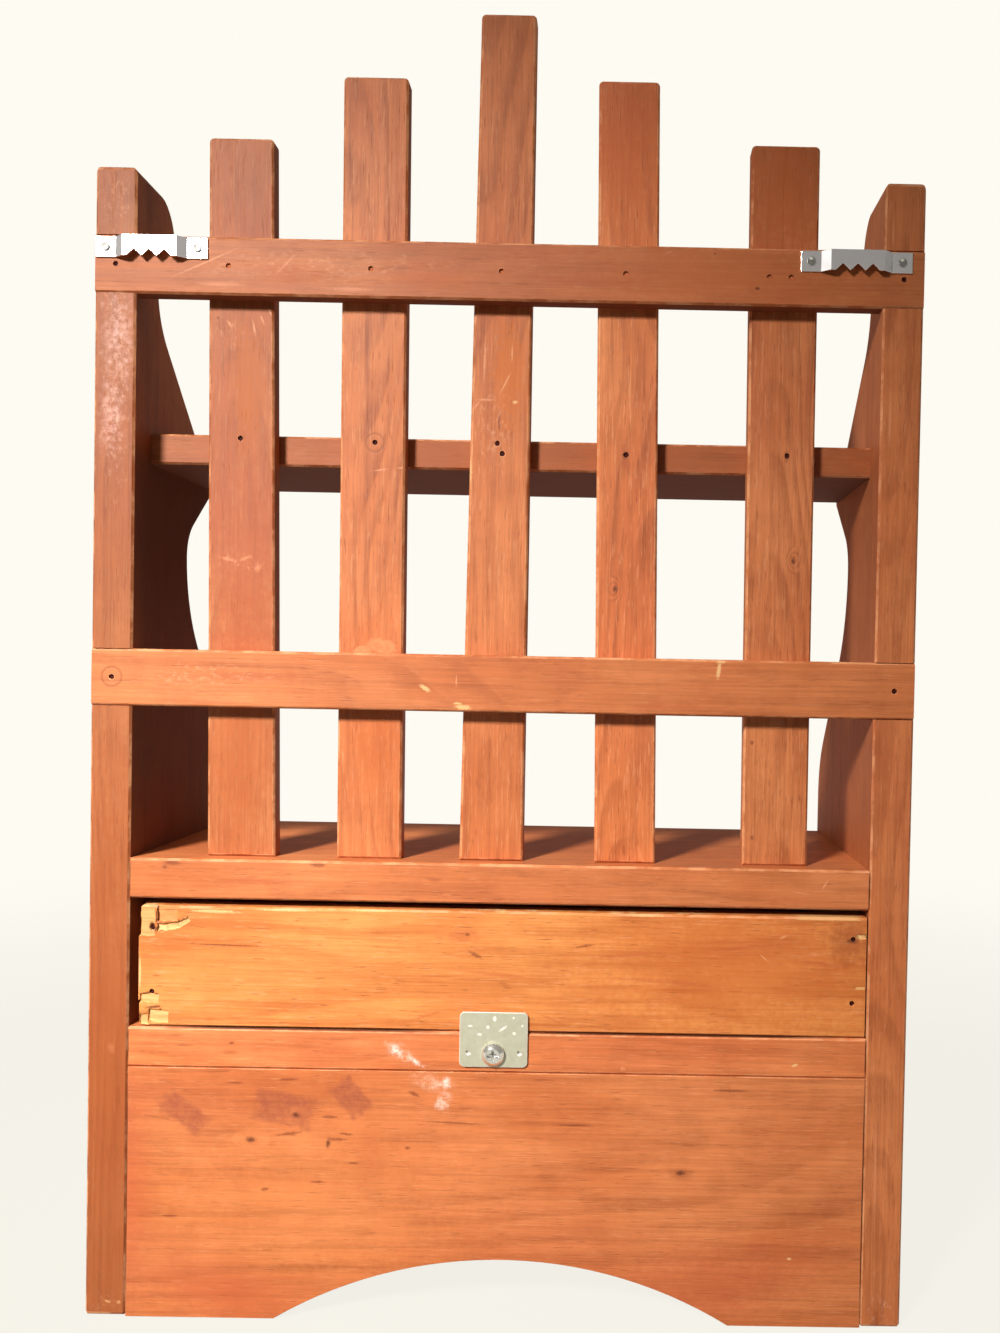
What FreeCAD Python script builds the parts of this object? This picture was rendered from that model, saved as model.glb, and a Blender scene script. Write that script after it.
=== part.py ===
import FreeCAD, Part
import math
import os
from FreeCAD import Vector

# A wall shelf with one drawer, built of nailed pine boards. Sizes are in millimetres.
# +Z is up, the front faces -Y and the back, which goes to the wall, faces +Y.
# Depths run forwards from the back plane. Left and right are as seen from the front, so right is +X.

# Case boards
WIDTH = 305.0
DEPTH = 101.5
SIDE_HEIGHT = 426.5
SIDE_THICK = 15.0
SHELF_DROP = 94.5
SHELF_THICK = 11.5
SHELF_FRONT = 72.0
TOP_BOARD_THICK = 15.0
FLOOR_BOARD_THICK = 15.0
DRAWER_OPENING = 48.0
APRON_HEIGHT = 94.0
APRON_THICK = 15.0
ARCH_HALF_CHORD = 85.0
ARCH_RISE = 23.5
ARCH_CENTRE = -2.8
EASE = 0.8

# Scrolled front edge of the sides: corners of its outline, and the radius of the arc at each. The ear and the
# neck hang from the top, the nose lies level with the underside of the shelf, the bay hangs from the nose, and
# the swell leads down to the full depth above the drawer.
EAR_DEPTH = 34.0
EAR_ROUND = 16.0
EAR_DROP = 21.0
EAR_UNDER_ROUND = 10.0
NECK_DEPTH = 19.5
NECK_DROP = 33.0
NECK_ROUND = 7.0
FLARE_RISE = 57.0
FLARE_ROUND = 30.0
NOSE_DEPTH = 76.5
NOSE_ROUND = 2.5
BAY_DEPTH = 49.3
BAY_DROP = 23.3
BAY_ROUND = 17.9
SWELL_TOP_DROP = 54.1
SWELL_TOP_ROUND = 62.0
SWELL_FOOT_UP = 32.2
SWELL_FOOT_ROUND = 39.0
CORNER_ROUND = 1.9

# Rails, let into the back edges of the sides
RAIL_THICK = 7.0
RAIL_HEIGHT = 21.2
TOP_RAIL_DROP = 25.1
MIDDLE_RAIL_UP = 56.4

# Slats, from left to right. The outer ones stand an inset from the sides and the others are spaced evenly between
# them, but for the shifts at foot and head that the hand-made one has. A rise is the height of a slat's head over
# the top of the sides. Nails through the top rail are given by their distance from the slat's centre line, nails
# into the shelf also by their height on its edge.
SLAT_THICK = 7.0
SLAT_ROUND = 1.7
SLAT_INSET = 36.65
SLAT_FOOT_SHIFTS = [-2.05, 4.3, 4.5, 0.2, -2.05]
SLAT_HEAD_SHIFTS = [-0.75, 7.9, 2.8, 1.6, 1.15]
SLAT_FOOT_WIDTHS = [24.6, 23.1, 24.1, 24.3, 25.6]
SLAT_HEAD_WIDTHS = [25.6, 22.8, 20.6, 24.2, 24.1]
SLAT_RISES = [16.0, 38.7, 62.5, 38.2, 14.5]
SLAT_RAIL_NAILS = [[-1.5, 6.5], [1.0], [0.0], [-0.3], [2.2]]
SLAT_SHELF_NAILS = [[(-2.2, 6.3)], [(0.4, 5.5)], [(1.0, 8.8), (-1.0, 5.0)], [(-0.8, 8.3)], [(0.3, 8.8)]]

# Drawer
DRAWER_GAP_LEFT = 0.6
DRAWER_GAP_RIGHT = 3.6
DRAWER_GAP_TOP = 2.7
DRAWER_REST = 0.25
DRAWER_INSET = 1.0
DRAWER_SIDE_THICK = 10.0
DRAWER_BACK_THICK = 10.0
DRAWER_FRONT_THICK = 12.0
PANEL_THICK = 4.0
PANEL_UP = 5.0
GROOVE_DEPTH = 4.0
GROOVE_CLEARANCE = 0.15
DRAWER_NAILS_UP = [13.0, 37.0]

# Turned knob and its screw
KNOB_RADIUS = 11.0
KNOB_LENGTH = 19.0
KNOB_BASE_RADIUS = 7.0
KNOB_NECK_RADIUS = 5.2
KNOB_NECK_OUT = 5.5
KNOB_RIM_OUT = 11.0
KNOB_DOME_OUT = 13.5
KNOB_DOME_BANDS = 3
KNOB_SCREW_GRIP = 11.0

# Stop plate behind the drawer
PLATE_WIDTH = 25.4
PLATE_HEIGHT = 20.6
PLATE_THICK = 1.0
PLATE_ROUND = 2.0
PLATE_CENTRE = 1.4
PLATE_SCREW_UP = 5.1
DIMPLE_REACH = 9.5
DIMPLE_RADIUS = 0.8
DIMPLE_DEEP = 0.5

# Screws
SCREW_HEAD_RADIUS = 4.15
SCREW_HEAD_HEIGHT = 2.6
SCREW_EDGE_HEIGHT = 1.3
SCREW_CROWN_RADIUS = 2.7
SCREW_RADIUS = 1.8
SCREW_GRIP = 18.0
RECESS_LENGTH = 4.4
RECESS_WIDTH = 1.0
RECESS_DEEP = 1.3
SCREW_CLEARANCE = 0.1

# Sawtooth hangers on the ends of the top rail
HANGER_LENGTH = 41.0
HANGER_HEIGHT = 7.5
HANGER_THICK = 0.7
HANGER_RISE = 2.2
HANGER_TAB = 7.4
HANGER_RAMP = 3.2
HANGER_DROP = 1.0
HANGER_INSET_LEFT = 25.2
HANGER_INSET_RIGHT = 20.9
NOTCH_PITCH = 5.5
NOTCH_WIDTH = 5.3
NOTCH_DEEP = 2.5
NOTCH_COUNT = 3
HANGER_NAIL_RADIUS = 0.7
HANGER_NAIL_HEAD_RADIUS = 1.5
HANGER_NAIL_HEAD = 0.7
HANGER_NAIL_GRIP = 5.5

# Finishing nails
NAIL_RADIUS = 0.95
NAIL_SIDES = 8
NAIL_SINK = 0.7
NAIL_CLEARANCE = 0.05
NAIL_GRIP = 18.0
SLAT_NAIL_GRIP = 4.5
RAIL_END_NAIL_INSET = 7.5
SHELF_NAIL_DEPTHS = [28.0, 56.0]
BOARD_NAIL_DEPTHS = [22.0, 78.0]
APRON_NAIL_HEIGHTS = [28.0, 70.0]

# Places worked out from the sizes above
INNER = WIDTH / 2 - SIDE_THICK
FLOOR_TOP = APRON_HEIGHT + FLOOR_BOARD_THICK
TOP_BOARD_Z = FLOOR_TOP + DRAWER_OPENING
TOP_BOARD_TOP = TOP_BOARD_Z + TOP_BOARD_THICK
SHELF_TOP = SIDE_HEIGHT - SHELF_DROP
SHELF_Z = SHELF_TOP - SHELF_THICK
TOP_RAIL_Z = SIDE_HEIGHT - TOP_RAIL_DROP - RAIL_HEIGHT
MIDDLE_RAIL_Z = TOP_BOARD_TOP + MIDDLE_RAIL_UP
SLAT_FRONT = RAIL_THICK + SLAT_THICK
SLAT_PITCH = 2 * (INNER - SLAT_INSET) / (len(SLAT_RISES) - 1)
DRAWER_FRONT = DEPTH - DRAWER_INSET
DRAWER_LEFT = -INNER + DRAWER_GAP_LEFT
DRAWER_RIGHT = INNER - DRAWER_GAP_RIGHT
DRAWER_CENTRE = (DRAWER_LEFT + DRAWER_RIGHT) / 2
DRAWER_Z = FLOOR_TOP + DRAWER_REST
DRAWER_TOP = TOP_BOARD_Z - DRAWER_GAP_TOP
DRAWER_BACK = DRAWER_REST
PANEL_Z = DRAWER_Z + PANEL_UP
PLATE_SCREW_Z = APRON_HEIGHT + FLOOR_BOARD_THICK / 2
HANGER_Z = TOP_RAIL_Z + RAIL_HEIGHT - HANGER_DROP - HANGER_HEIGHT

# The origin lies under the middle of the whole, so the back plane stands half of the reach behind it.
FRONT_REACH = DRAWER_FRONT + KNOB_LENGTH
REAR_REACH = max(PLATE_THICK + SCREW_HEAD_HEIGHT, HANGER_RISE + HANGER_THICK, HANGER_THICK + HANGER_NAIL_HEAD)
BACK = (FRONT_REACH - REAR_REACH) / 2

FORWARDS = Vector(0, -1, 0)
BACKWARDS = Vector(0, 1, 0)
ACROSS = Vector(1, 0, 0)


def point(x, depth, z):
    return Vector(x, BACK - depth, z)


def board(x0, x1, depth0, depth1, z0, z1):
    """A plain board between two places across, in depth and in height."""
    return Part.makeBox(x1 - x0, depth1 - depth0, z1 - z0, point(x0, depth1, z0))


def rounded_outline(corners):
    """A closed outline of straight runs, with an arc at each corner that has a radius.

    Each corner is a point and a radius. Where two arcs would meet on a run, both give way.
    """
    points = [corner for corner, _ in corners]
    count = len(points)
    runs = [points[(i + 1) % count] - points[i] for i in range(count)]
    reaches = [radius * math.tan(runs[i - 1].getAngle(runs[i]) / 2) for i, (_, radius) in enumerate(corners)]
    fits = [min(1, runs[i].Length / max(reaches[i] + reaches[(i + 1) % count], 1e-9)) for i in range(count)]
    edges = []
    ends = []
    for i, corner in enumerate(points):
        reach = reaches[i] * min(fits[i - 1], fits[i])
        arriving = Vector(runs[i - 1]).normalize()
        leaving = Vector(runs[i]).normalize()
        start = corner - arriving * reach
        end = corner + leaving * reach
        ends.append((start, end))
        if reach > 0:
            inward = (leaving - arriving).normalize()
            half = leaving.getAngle(inward)
            middle = corner + inward * (reach * (1 / math.cos(half) - math.tan(half)))
            edges.append(Part.Arc(start, middle, end).toShape())
    for i in range(count):
        start = ends[i][1]
        end = ends[(i + 1) % count][0]
        if (end - start).Length > 1e-6:
            edges.append(Part.LineSegment(start, end).toShape())
    return Part.Wire(Part.__sortEdges__(edges))


def sawn(corners, direction, thick):
    """A board sawn to an outline, with the arrises round both of its faces broken."""
    solid = Part.Face(rounded_outline(corners)).extrude(direction * thick)
    rims = [edge for edge in solid.Edges if not runs_along(edge, direction)]
    return solid.makeChamfer(min(EASE, 0.2 * thick), rims)


def runs_along(edge, direction):
    run = edge.Vertexes[-1].Point - edge.Vertexes[0].Point
    return run.Length > 0 and abs(run.normalize().dot(direction)) > 0.999


def planed(solid, direction):
    """A board with the four arrises that run in one direction broken."""
    size = solid.BoundBox
    width = min(EASE, 0.2 * min(size.XLength, size.YLength, size.ZLength))
    return solid.makeChamfer(width, [edge for edge in solid.Edges if runs_along(edge, direction)])


def nail_pin(at, direction, radius, length):
    """A straight pin of few sides, from a point along a direction."""
    across = Vector(0, 0, 1)
    outline = []
    for i in range(NAIL_SIDES + 1):
        turn = FreeCAD.Rotation(direction, (i + 0.5) * 360 / NAIL_SIDES)
        outline.append(at + turn.multVec(across) * radius)
    return Part.Face(Part.makePolygon(outline)).extrude(direction * length)


def nail_solid(at, direction, grip):
    """A finishing nail driven in at a surface point, with its head sunk below that surface."""
    return nail_pin(at + direction * NAIL_SINK, direction, NAIL_RADIUS, grip - NAIL_SINK)


def nail_hole(at, direction, grip):
    return nail_pin(at, direction, NAIL_RADIUS + NAIL_CLEARANCE, grip + NAIL_CLEARANCE)


def drilled(solid, *groups):
    """The solid with a hole for every nail of the groups that reaches it."""
    for group in groups:
        for nail in group:
            hole = nail_hole(*nail)
            if hole.BoundBox.intersect(solid.BoundBox):
                solid = solid.cut(hole)
    return solid.Solids[0]


def slat_line(slat, z):
    """Where a slat's centre line lies across the width at a height."""
    share = (z - TOP_BOARD_TOP) / (SIDE_HEIGHT + SLAT_RISES[slat] - TOP_BOARD_TOP)
    shift = SLAT_FOOT_SHIFTS[slat] + share * (SLAT_HEAD_SHIFTS[slat] - SLAT_FOOT_SHIFTS[slat])
    return SLAT_INSET - INNER + slat * SLAT_PITCH + shift


def rail_nail_places():
    """Nails through the rails' ends into the sides, and through the top rail into the slats."""
    end_grip = RAIL_THICK + NAIL_GRIP
    slat_grip = RAIL_THICK + SLAT_NAIL_GRIP
    end_x = WIDTH / 2 - RAIL_END_NAIL_INSET
    top_z = TOP_RAIL_Z + RAIL_HEIGHT / 2
    middle_z = MIDDLE_RAIL_Z + RAIL_HEIGHT / 2
    ends = [(point(side * end_x, 0, z), FORWARDS, end_grip) for side in (-1, 1) for z in (top_z, middle_z)]
    across = [(point(slat_line(slat, top_z) + offset, 0, top_z), FORWARDS, slat_grip)
              for slat, offsets in enumerate(SLAT_RAIL_NAILS) for offset in offsets]
    return ends, across


def shelf_nail_places():
    """Nails through the slats into the back edge of the shelf."""
    places = []
    for slat, offsets in enumerate(SLAT_SHELF_NAILS):
        for offset, up in offsets:
            z = SHELF_Z + up
            places.append((point(slat_line(slat, z) + offset, RAIL_THICK, z), FORWARDS, SLAT_THICK + NAIL_GRIP))
    return places


def case_nail_places():
    """Nails through the sides into the ends of the shelf, the two drawer boards and the apron."""
    marks = [(depth, SHELF_Z + SHELF_THICK / 2) for depth in SHELF_NAIL_DEPTHS]
    marks += [(depth, TOP_BOARD_Z + TOP_BOARD_THICK / 2) for depth in BOARD_NAIL_DEPTHS]
    marks += [(depth, APRON_HEIGHT + FLOOR_BOARD_THICK / 2) for depth in BOARD_NAIL_DEPTHS]
    marks += [(APRON_THICK / 2, z) for z in APRON_NAIL_HEIGHTS]
    grip = SIDE_THICK + NAIL_GRIP
    return [(point(side * WIDTH / 2, depth, z), ACROSS * -side, grip) for side in (-1, 1) for depth, z in marks]


def drawer_nail_places(depth, direction, thick):
    """Nails through the drawer's back or front into the ends of its sides."""
    left = DRAWER_LEFT + DRAWER_SIDE_THICK / 2
    right = DRAWER_RIGHT - DRAWER_SIDE_THICK / 2
    grip = thick + NAIL_GRIP
    return [(point(x, depth, DRAWER_Z + up), direction, grip) for x in (left, right) for up in DRAWER_NAILS_UP]


RAIL_END_NAILS, SLAT_NAILS = rail_nail_places()
SHELF_NAILS = shelf_nail_places()
CASE_NAILS = case_nail_places()
DRAWER_BACK_NAILS = drawer_nail_places(DRAWER_BACK, FORWARDS, DRAWER_BACK_THICK)
DRAWER_FRONT_NAILS = drawer_nail_places(DRAWER_FRONT, BACKWARDS, DRAWER_FRONT_THICK)


def nail_group(places):
    return Part.makeCompound([nail_solid(*place) for place in places])


def side_corners(x):
    """The corners of a side's outline, from the top of the back edge round the scrolled front."""
    marks = [
        (0, SIDE_HEIGHT, CORNER_ROUND),
        (EAR_DEPTH, SIDE_HEIGHT, EAR_ROUND),
        (EAR_DEPTH, SIDE_HEIGHT - EAR_DROP, EAR_UNDER_ROUND),
        (NECK_DEPTH, SIDE_HEIGHT - NECK_DROP, NECK_ROUND),
        (NECK_DEPTH, SHELF_Z + FLARE_RISE, FLARE_ROUND),
        (NOSE_DEPTH, SHELF_Z, NOSE_ROUND),
        (BAY_DEPTH, SHELF_Z - BAY_DROP, BAY_ROUND),
        (BAY_DEPTH, SHELF_Z - SWELL_TOP_DROP, SWELL_TOP_ROUND),
        (DEPTH, TOP_BOARD_TOP + SWELL_FOOT_UP, SWELL_FOOT_ROUND),
        (DEPTH, 0, CORNER_ROUND),
        (0, 0, CORNER_ROUND),
    ]
    return [(point(x, depth, z), radius) for depth, z, radius in marks]


def side_board(side):
    """One side, notched at its back edge for the two rails."""
    x0 = INNER if side > 0 else -WIDTH / 2
    solid = sawn(side_corners(x0), ACROSS, SIDE_THICK)
    for rail_z in (TOP_RAIL_Z, MIDDLE_RAIL_Z):
        solid = solid.cut(board(x0, x0 + SIDE_THICK, 0, RAIL_THICK, rail_z, rail_z + RAIL_HEIGHT))
    return drilled(solid, RAIL_END_NAILS, CASE_NAILS)


def rail(z):
    return planed(board(-WIDTH / 2, WIDTH / 2, 0, RAIL_THICK, z, z + RAIL_HEIGHT), ACROSS)


def top_rail():
    solid = drilled(rail(TOP_RAIL_Z), RAIL_END_NAILS, SLAT_NAILS)
    for at, _ in hanger_nail_places():
        hole = nail_pin(at, FORWARDS, HANGER_NAIL_RADIUS + NAIL_CLEARANCE, HANGER_NAIL_GRIP + NAIL_CLEARANCE)
        solid = solid.cut(hole)
    return solid.Solids[0]


def middle_rail():
    return drilled(rail(MIDDLE_RAIL_Z), RAIL_END_NAILS)


def slat_board(slat):
    """One slat, slightly out of plumb and of uneven width, with its top corners rounded."""
    foot_z = TOP_BOARD_TOP
    head_z = SIDE_HEIGHT + SLAT_RISES[slat]
    foot = slat_line(slat, foot_z)
    head = slat_line(slat, head_z)
    places = [
        (foot - SLAT_FOOT_WIDTHS[slat] / 2, foot_z, 0),
        (foot + SLAT_FOOT_WIDTHS[slat] / 2, foot_z, 0),
        (head + SLAT_HEAD_WIDTHS[slat] / 2, head_z, SLAT_ROUND),
        (head - SLAT_HEAD_WIDTHS[slat] / 2, head_z, SLAT_ROUND),
    ]
    solid = sawn([(point(x, SLAT_FRONT, z), radius) for x, z, radius in places], BACKWARDS, SLAT_THICK)
    return drilled(solid, SLAT_NAILS, SHELF_NAILS)


def long_board(depth0, depth1, z0, z1, *nails):
    """A board from side to side, with its four long arrises broken."""
    solid = board(-INNER, INNER, depth0, depth1, z0, z1)
    return drilled(planed(solid, ACROSS), *nails)


def shelf():
    return long_board(SLAT_FRONT, SHELF_FRONT, SHELF_Z, SHELF_TOP, CASE_NAILS, SHELF_NAILS)


def drawer_top_board():
    return long_board(0, DEPTH, TOP_BOARD_Z, TOP_BOARD_TOP, CASE_NAILS)


def drawer_floor_board():
    solid = long_board(0, DEPTH, APRON_HEIGHT, FLOOR_TOP, CASE_NAILS)
    bore = Part.makeCylinder(SCREW_RADIUS + SCREW_CLEARANCE, SCREW_GRIP + SCREW_CLEARANCE,
                             point(PLATE_CENTRE, 0, PLATE_SCREW_Z), FORWARDS)
    return solid.cut(bore).Solids[0]


def apron():
    """The board under the drawer, flush with the back, with an arch sawn in its lower edge."""
    arch_left = point(ARCH_CENTRE - ARCH_HALF_CHORD, APRON_THICK, 0)
    arch_right = point(ARCH_CENTRE + ARCH_HALF_CHORD, APRON_THICK, 0)
    arch_top = point(ARCH_CENTRE, APRON_THICK, ARCH_RISE)
    corners = [
        point(INNER, APRON_THICK, 0),
        point(INNER, APRON_THICK, APRON_HEIGHT),
        point(-INNER, APRON_THICK, APRON_HEIGHT),
        point(-INNER, APRON_THICK, 0),
    ]
    edges = [
        Part.Arc(arch_left, arch_top, arch_right).toShape(),
        Part.LineSegment(arch_right, corners[0]).toShape(),
        Part.LineSegment(corners[0], corners[1]).toShape(),
        Part.LineSegment(corners[1], corners[2]).toShape(),
        Part.LineSegment(corners[2], corners[3]).toShape(),
        Part.LineSegment(corners[3], arch_left).toShape(),
    ]
    solid = Part.Face(Part.Wire(edges)).extrude(BACKWARDS * APRON_THICK)
    return drilled(solid, CASE_NAILS)


def hanger_centres():
    return {"left": -WIDTH / 2 + HANGER_INSET_LEFT, "right": WIDTH / 2 - HANGER_INSET_RIGHT}


def hanger(centre):
    """A pressed strip: two nailed tabs, and between them a raised bridge with a toothed lower edge."""
    half = HANGER_LENGTH / 2
    bend = half - HANGER_TAB
    bridge = bend - HANGER_RAMP
    top = HANGER_RISE + HANGER_THICK
    section = [(-half, 0), (-bend, 0), (-bridge, HANGER_RISE), (bridge, HANGER_RISE), (bend, 0), (half, 0),
               (half, HANGER_THICK), (bend, HANGER_THICK), (bridge, top), (-bridge, top), (-bend, HANGER_THICK),
               (-half, HANGER_THICK)]
    corners = [point(centre + x, -rise, HANGER_Z) for x, rise in section]
    solid = Part.Face(Part.makePolygon(corners + corners[:1])).extrude(Vector(0, 0, HANGER_HEIGHT))
    for i in range(NOTCH_COUNT):
        x = centre + (i - (NOTCH_COUNT - 1) / 2) * NOTCH_PITCH
        notch = [
            point(x - NOTCH_WIDTH / 2, 0, HANGER_Z),
            point(x + NOTCH_WIDTH / 2, 0, HANGER_Z),
            point(x, 0, HANGER_Z + NOTCH_DEEP),
        ]
        tool = Part.Face(Part.makePolygon(notch + notch[:1])).extrude(BACKWARDS * (2 * top))
        solid = solid.cut(tool)
    for at, near in hanger_nail_places():
        if near == centre:
            solid = solid.cut(nail_pin(at, BACKWARDS, HANGER_NAIL_RADIUS + NAIL_CLEARANCE, HANGER_THICK))
    return solid.Solids[0]


def hanger_nail_places():
    """Where the hanger nails enter the rail, each with the centre of its hanger."""
    z = HANGER_Z + HANGER_HEIGHT / 2
    reach = HANGER_LENGTH / 2 - HANGER_TAB / 2
    return [(point(centre + side * reach, 0, z), centre) for centre in hanger_centres().values() for side in (-1, 1)]


def hanger_nails():
    nails = []
    for at, _ in hanger_nail_places():
        seat = at + BACKWARDS * HANGER_THICK
        shank = nail_pin(seat, FORWARDS, HANGER_NAIL_RADIUS, HANGER_THICK + HANGER_NAIL_GRIP)
        head = nail_pin(seat, BACKWARDS, HANGER_NAIL_HEAD_RADIUS, HANGER_NAIL_HEAD)
        nails.append(shank.fuse(head).removeSplitter().Solids[0])
    return Part.makeCompound(nails)


def stop_plate():
    """A thin plate with round corners, one screw hole and a dimple at each side of it."""
    z0 = PLATE_SCREW_Z - PLATE_SCREW_UP
    half = PLATE_WIDTH / 2
    corners = [
        point(PLATE_CENTRE - half, 0, z0),
        point(PLATE_CENTRE + half, 0, z0),
        point(PLATE_CENTRE + half, 0, z0 + PLATE_HEIGHT),
        point(PLATE_CENTRE - half, 0, z0 + PLATE_HEIGHT),
    ]
    outline = rounded_outline([(corner, PLATE_ROUND) for corner in corners])
    solid = Part.Face(outline).extrude(BACKWARDS * PLATE_THICK)
    hole = Part.makeCylinder(SCREW_RADIUS + SCREW_CLEARANCE, PLATE_THICK,
                             point(PLATE_CENTRE, 0, PLATE_SCREW_Z), BACKWARDS)
    solid = solid.cut(hole)
    for side in (-1, 1):
        at = point(PLATE_CENTRE + side * DIMPLE_REACH, -PLATE_THICK, PLATE_SCREW_Z)
        solid = solid.cut(Part.makeCone(DIMPLE_RADIUS, 0, DIMPLE_DEEP, at, FORWARDS))
    return solid.Solids[0]


def pan_head_screw(seat, outward, grip):
    """A pan-head screw with a cross recess. Its head stands outward from the seat, its shank runs inward."""
    marks = [
        (0, SCREW_HEAD_HEIGHT),
        (SCREW_CROWN_RADIUS, SCREW_HEAD_HEIGHT),
        (SCREW_HEAD_RADIUS, SCREW_EDGE_HEIGHT),
        (SCREW_HEAD_RADIUS, 0),
        (SCREW_RADIUS, 0),
        (SCREW_RADIUS, -grip),
        (0, -grip),
        (0, SCREW_HEAD_HEIGHT),
    ]
    up = Vector(0, 0, 1)
    outline = Part.makePolygon([Vector(radius, 0, out) for radius, out in marks])
    solid = Part.Face(outline).revolve(Vector(0, 0, 0), up, 360)
    for length, width in ((RECESS_LENGTH, RECESS_WIDTH), (RECESS_WIDTH, RECESS_LENGTH)):
        corner = Vector(-length / 2, -width / 2, SCREW_HEAD_HEIGHT - RECESS_DEEP)
        solid = solid.cut(Part.makeBox(length, width, 2 * RECESS_DEEP, corner))
    solid = solid.Solids[0]
    solid.Placement = FreeCAD.Placement(seat, FreeCAD.Rotation(up, outward))
    return solid


def stop_plate_screw():
    return pan_head_screw(point(PLATE_CENTRE, -PLATE_THICK, PLATE_SCREW_Z), BACKWARDS, PLATE_THICK + SCREW_GRIP)


def knob_height():
    return (DRAWER_Z + DRAWER_TOP) / 2


def knob_bore(extra):
    """The screw's way through the drawer front into the knob."""
    start = point(DRAWER_CENTRE, DRAWER_FRONT - DRAWER_FRONT_THICK, knob_height())
    return Part.makeCylinder(SCREW_RADIUS + SCREW_CLEARANCE, DRAWER_FRONT_THICK + extra, start, FORWARDS)


def drawer_board(x0, x1, depth0, depth1):
    """An upright board of the drawer, with its long arrises broken."""
    solid = board(x0, x1, depth0, depth1, DRAWER_Z, DRAWER_TOP)
    return planed(solid, ACROSS if x1 - x0 > depth1 - depth0 else FORWARDS)


def panel_space(clearance):
    """The drawer's bottom panel, or with a clearance the grooves that hold it."""
    reach = GROOVE_DEPTH - GROOVE_CLEARANCE + clearance
    return board(DRAWER_LEFT + DRAWER_SIDE_THICK - reach, DRAWER_RIGHT - DRAWER_SIDE_THICK + reach,
                 DRAWER_BACK + DRAWER_BACK_THICK - reach, DRAWER_FRONT - DRAWER_FRONT_THICK + reach,
                 PANEL_Z - clearance, PANEL_Z + PANEL_THICK + clearance)


def drawer_back():
    solid = drawer_board(DRAWER_LEFT, DRAWER_RIGHT, DRAWER_BACK, DRAWER_BACK + DRAWER_BACK_THICK)
    return drilled(solid.cut(panel_space(GROOVE_CLEARANCE)), DRAWER_BACK_NAILS)


def drawer_front():
    solid = drawer_board(DRAWER_LEFT, DRAWER_RIGHT, DRAWER_FRONT - DRAWER_FRONT_THICK, DRAWER_FRONT)
    return drilled(solid.cut(panel_space(GROOVE_CLEARANCE)).cut(knob_bore(0)), DRAWER_FRONT_NAILS)


def drawer_side(x0):
    solid = drawer_board(x0, x0 + DRAWER_SIDE_THICK, DRAWER_BACK + DRAWER_BACK_THICK,
                         DRAWER_FRONT - DRAWER_FRONT_THICK)
    return drilled(solid.cut(panel_space(GROOVE_CLEARANCE)), DRAWER_BACK_NAILS, DRAWER_FRONT_NAILS)


def drawer_knob():
    """A turned knob: a foot on the drawer front, a drawn-in neck, and a rim with a crown domed in bands."""
    dome = KNOB_LENGTH - KNOB_DOME_OUT
    dome_radius = (KNOB_RADIUS ** 2 + dome ** 2) / (2 * dome)
    dome_turn = math.asin(KNOB_RADIUS / dome_radius)
    marks = [
        (0, 0),
        (KNOB_BASE_RADIUS, 0),
        (KNOB_NECK_RADIUS, KNOB_NECK_OUT),
        (KNOB_RADIUS, KNOB_RIM_OUT),
    ]
    for band in range(KNOB_DOME_BANDS):
        turn = dome_turn * (1 - band / (KNOB_DOME_BANDS + 0.5))
        marks.append((dome_radius * math.sin(turn), KNOB_LENGTH - dome_radius * (1 - math.cos(turn))))
    marks += [(0.6 * marks[-1][0], KNOB_LENGTH), (0, KNOB_LENGTH), (0, 0)]
    up = Vector(0, 0, 1)
    outline = Part.makePolygon([Vector(radius, 0, out) for radius, out in marks])
    solid = Part.Face(outline).revolve(Vector(0, 0, 0), up, 360)
    seat = point(DRAWER_CENTRE, DRAWER_FRONT, knob_height())
    solid.Placement = FreeCAD.Placement(seat, FreeCAD.Rotation(up, FORWARDS))
    return solid.cut(knob_bore(KNOB_SCREW_GRIP + SCREW_CLEARANCE)).Solids[0]


def knob_screw():
    seat = point(DRAWER_CENTRE, DRAWER_FRONT - DRAWER_FRONT_THICK, knob_height())
    return pan_head_screw(seat, BACKWARDS, DRAWER_FRONT_THICK + KNOB_SCREW_GRIP)


def pieces():
    """Every piece of the shelf, under the name of its node."""
    found = {
        "left_side": side_board(-1),
        "right_side": side_board(1),
        "top_rail": top_rail(),
        "middle_rail": middle_rail(),
        "shelf": shelf(),
        "drawer_top_board": drawer_top_board(),
        "drawer_floor_board": drawer_floor_board(),
        "apron": apron(),
        "stop_plate": stop_plate(),
        "stop_plate_screw": stop_plate_screw(),
        "hanger_nails": hanger_nails(),
        "rail_end_nails": nail_group(RAIL_END_NAILS),
        "slat_nails": nail_group(SLAT_NAILS),
        "shelf_nails": nail_group(SHELF_NAILS),
        "case_nails": nail_group(CASE_NAILS),
        "drawer_front": drawer_front(),
        "drawer_back": drawer_back(),
        "drawer_left_side": drawer_side(DRAWER_LEFT),
        "drawer_right_side": drawer_side(DRAWER_RIGHT - DRAWER_SIDE_THICK),
        "drawer_bottom": panel_space(0),
        "drawer_back_nails": nail_group(DRAWER_BACK_NAILS),
        "drawer_front_nails": nail_group(DRAWER_FRONT_NAILS),
        "drawer_knob": drawer_knob(),
        "knob_screw": knob_screw(),
    }
    for name, centre in hanger_centres().items():
        found[name + "_hanger"] = hanger(centre)
    for slat in range(len(SLAT_RISES)):
        found[f"slat_{slat + 1}"] = slat_board(slat)
    return found


os.makedirs("parts", exist_ok=True)
for node, shape in pieces().items():
    shape.exportStep(f"parts/{node}.step")
    print(node, len(shape.Solids), "solids", round(shape.Volume, 1), "mm3", "valid" if shape.isValid() else "INVALID")
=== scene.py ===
import math
from collections import namedtuple

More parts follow.
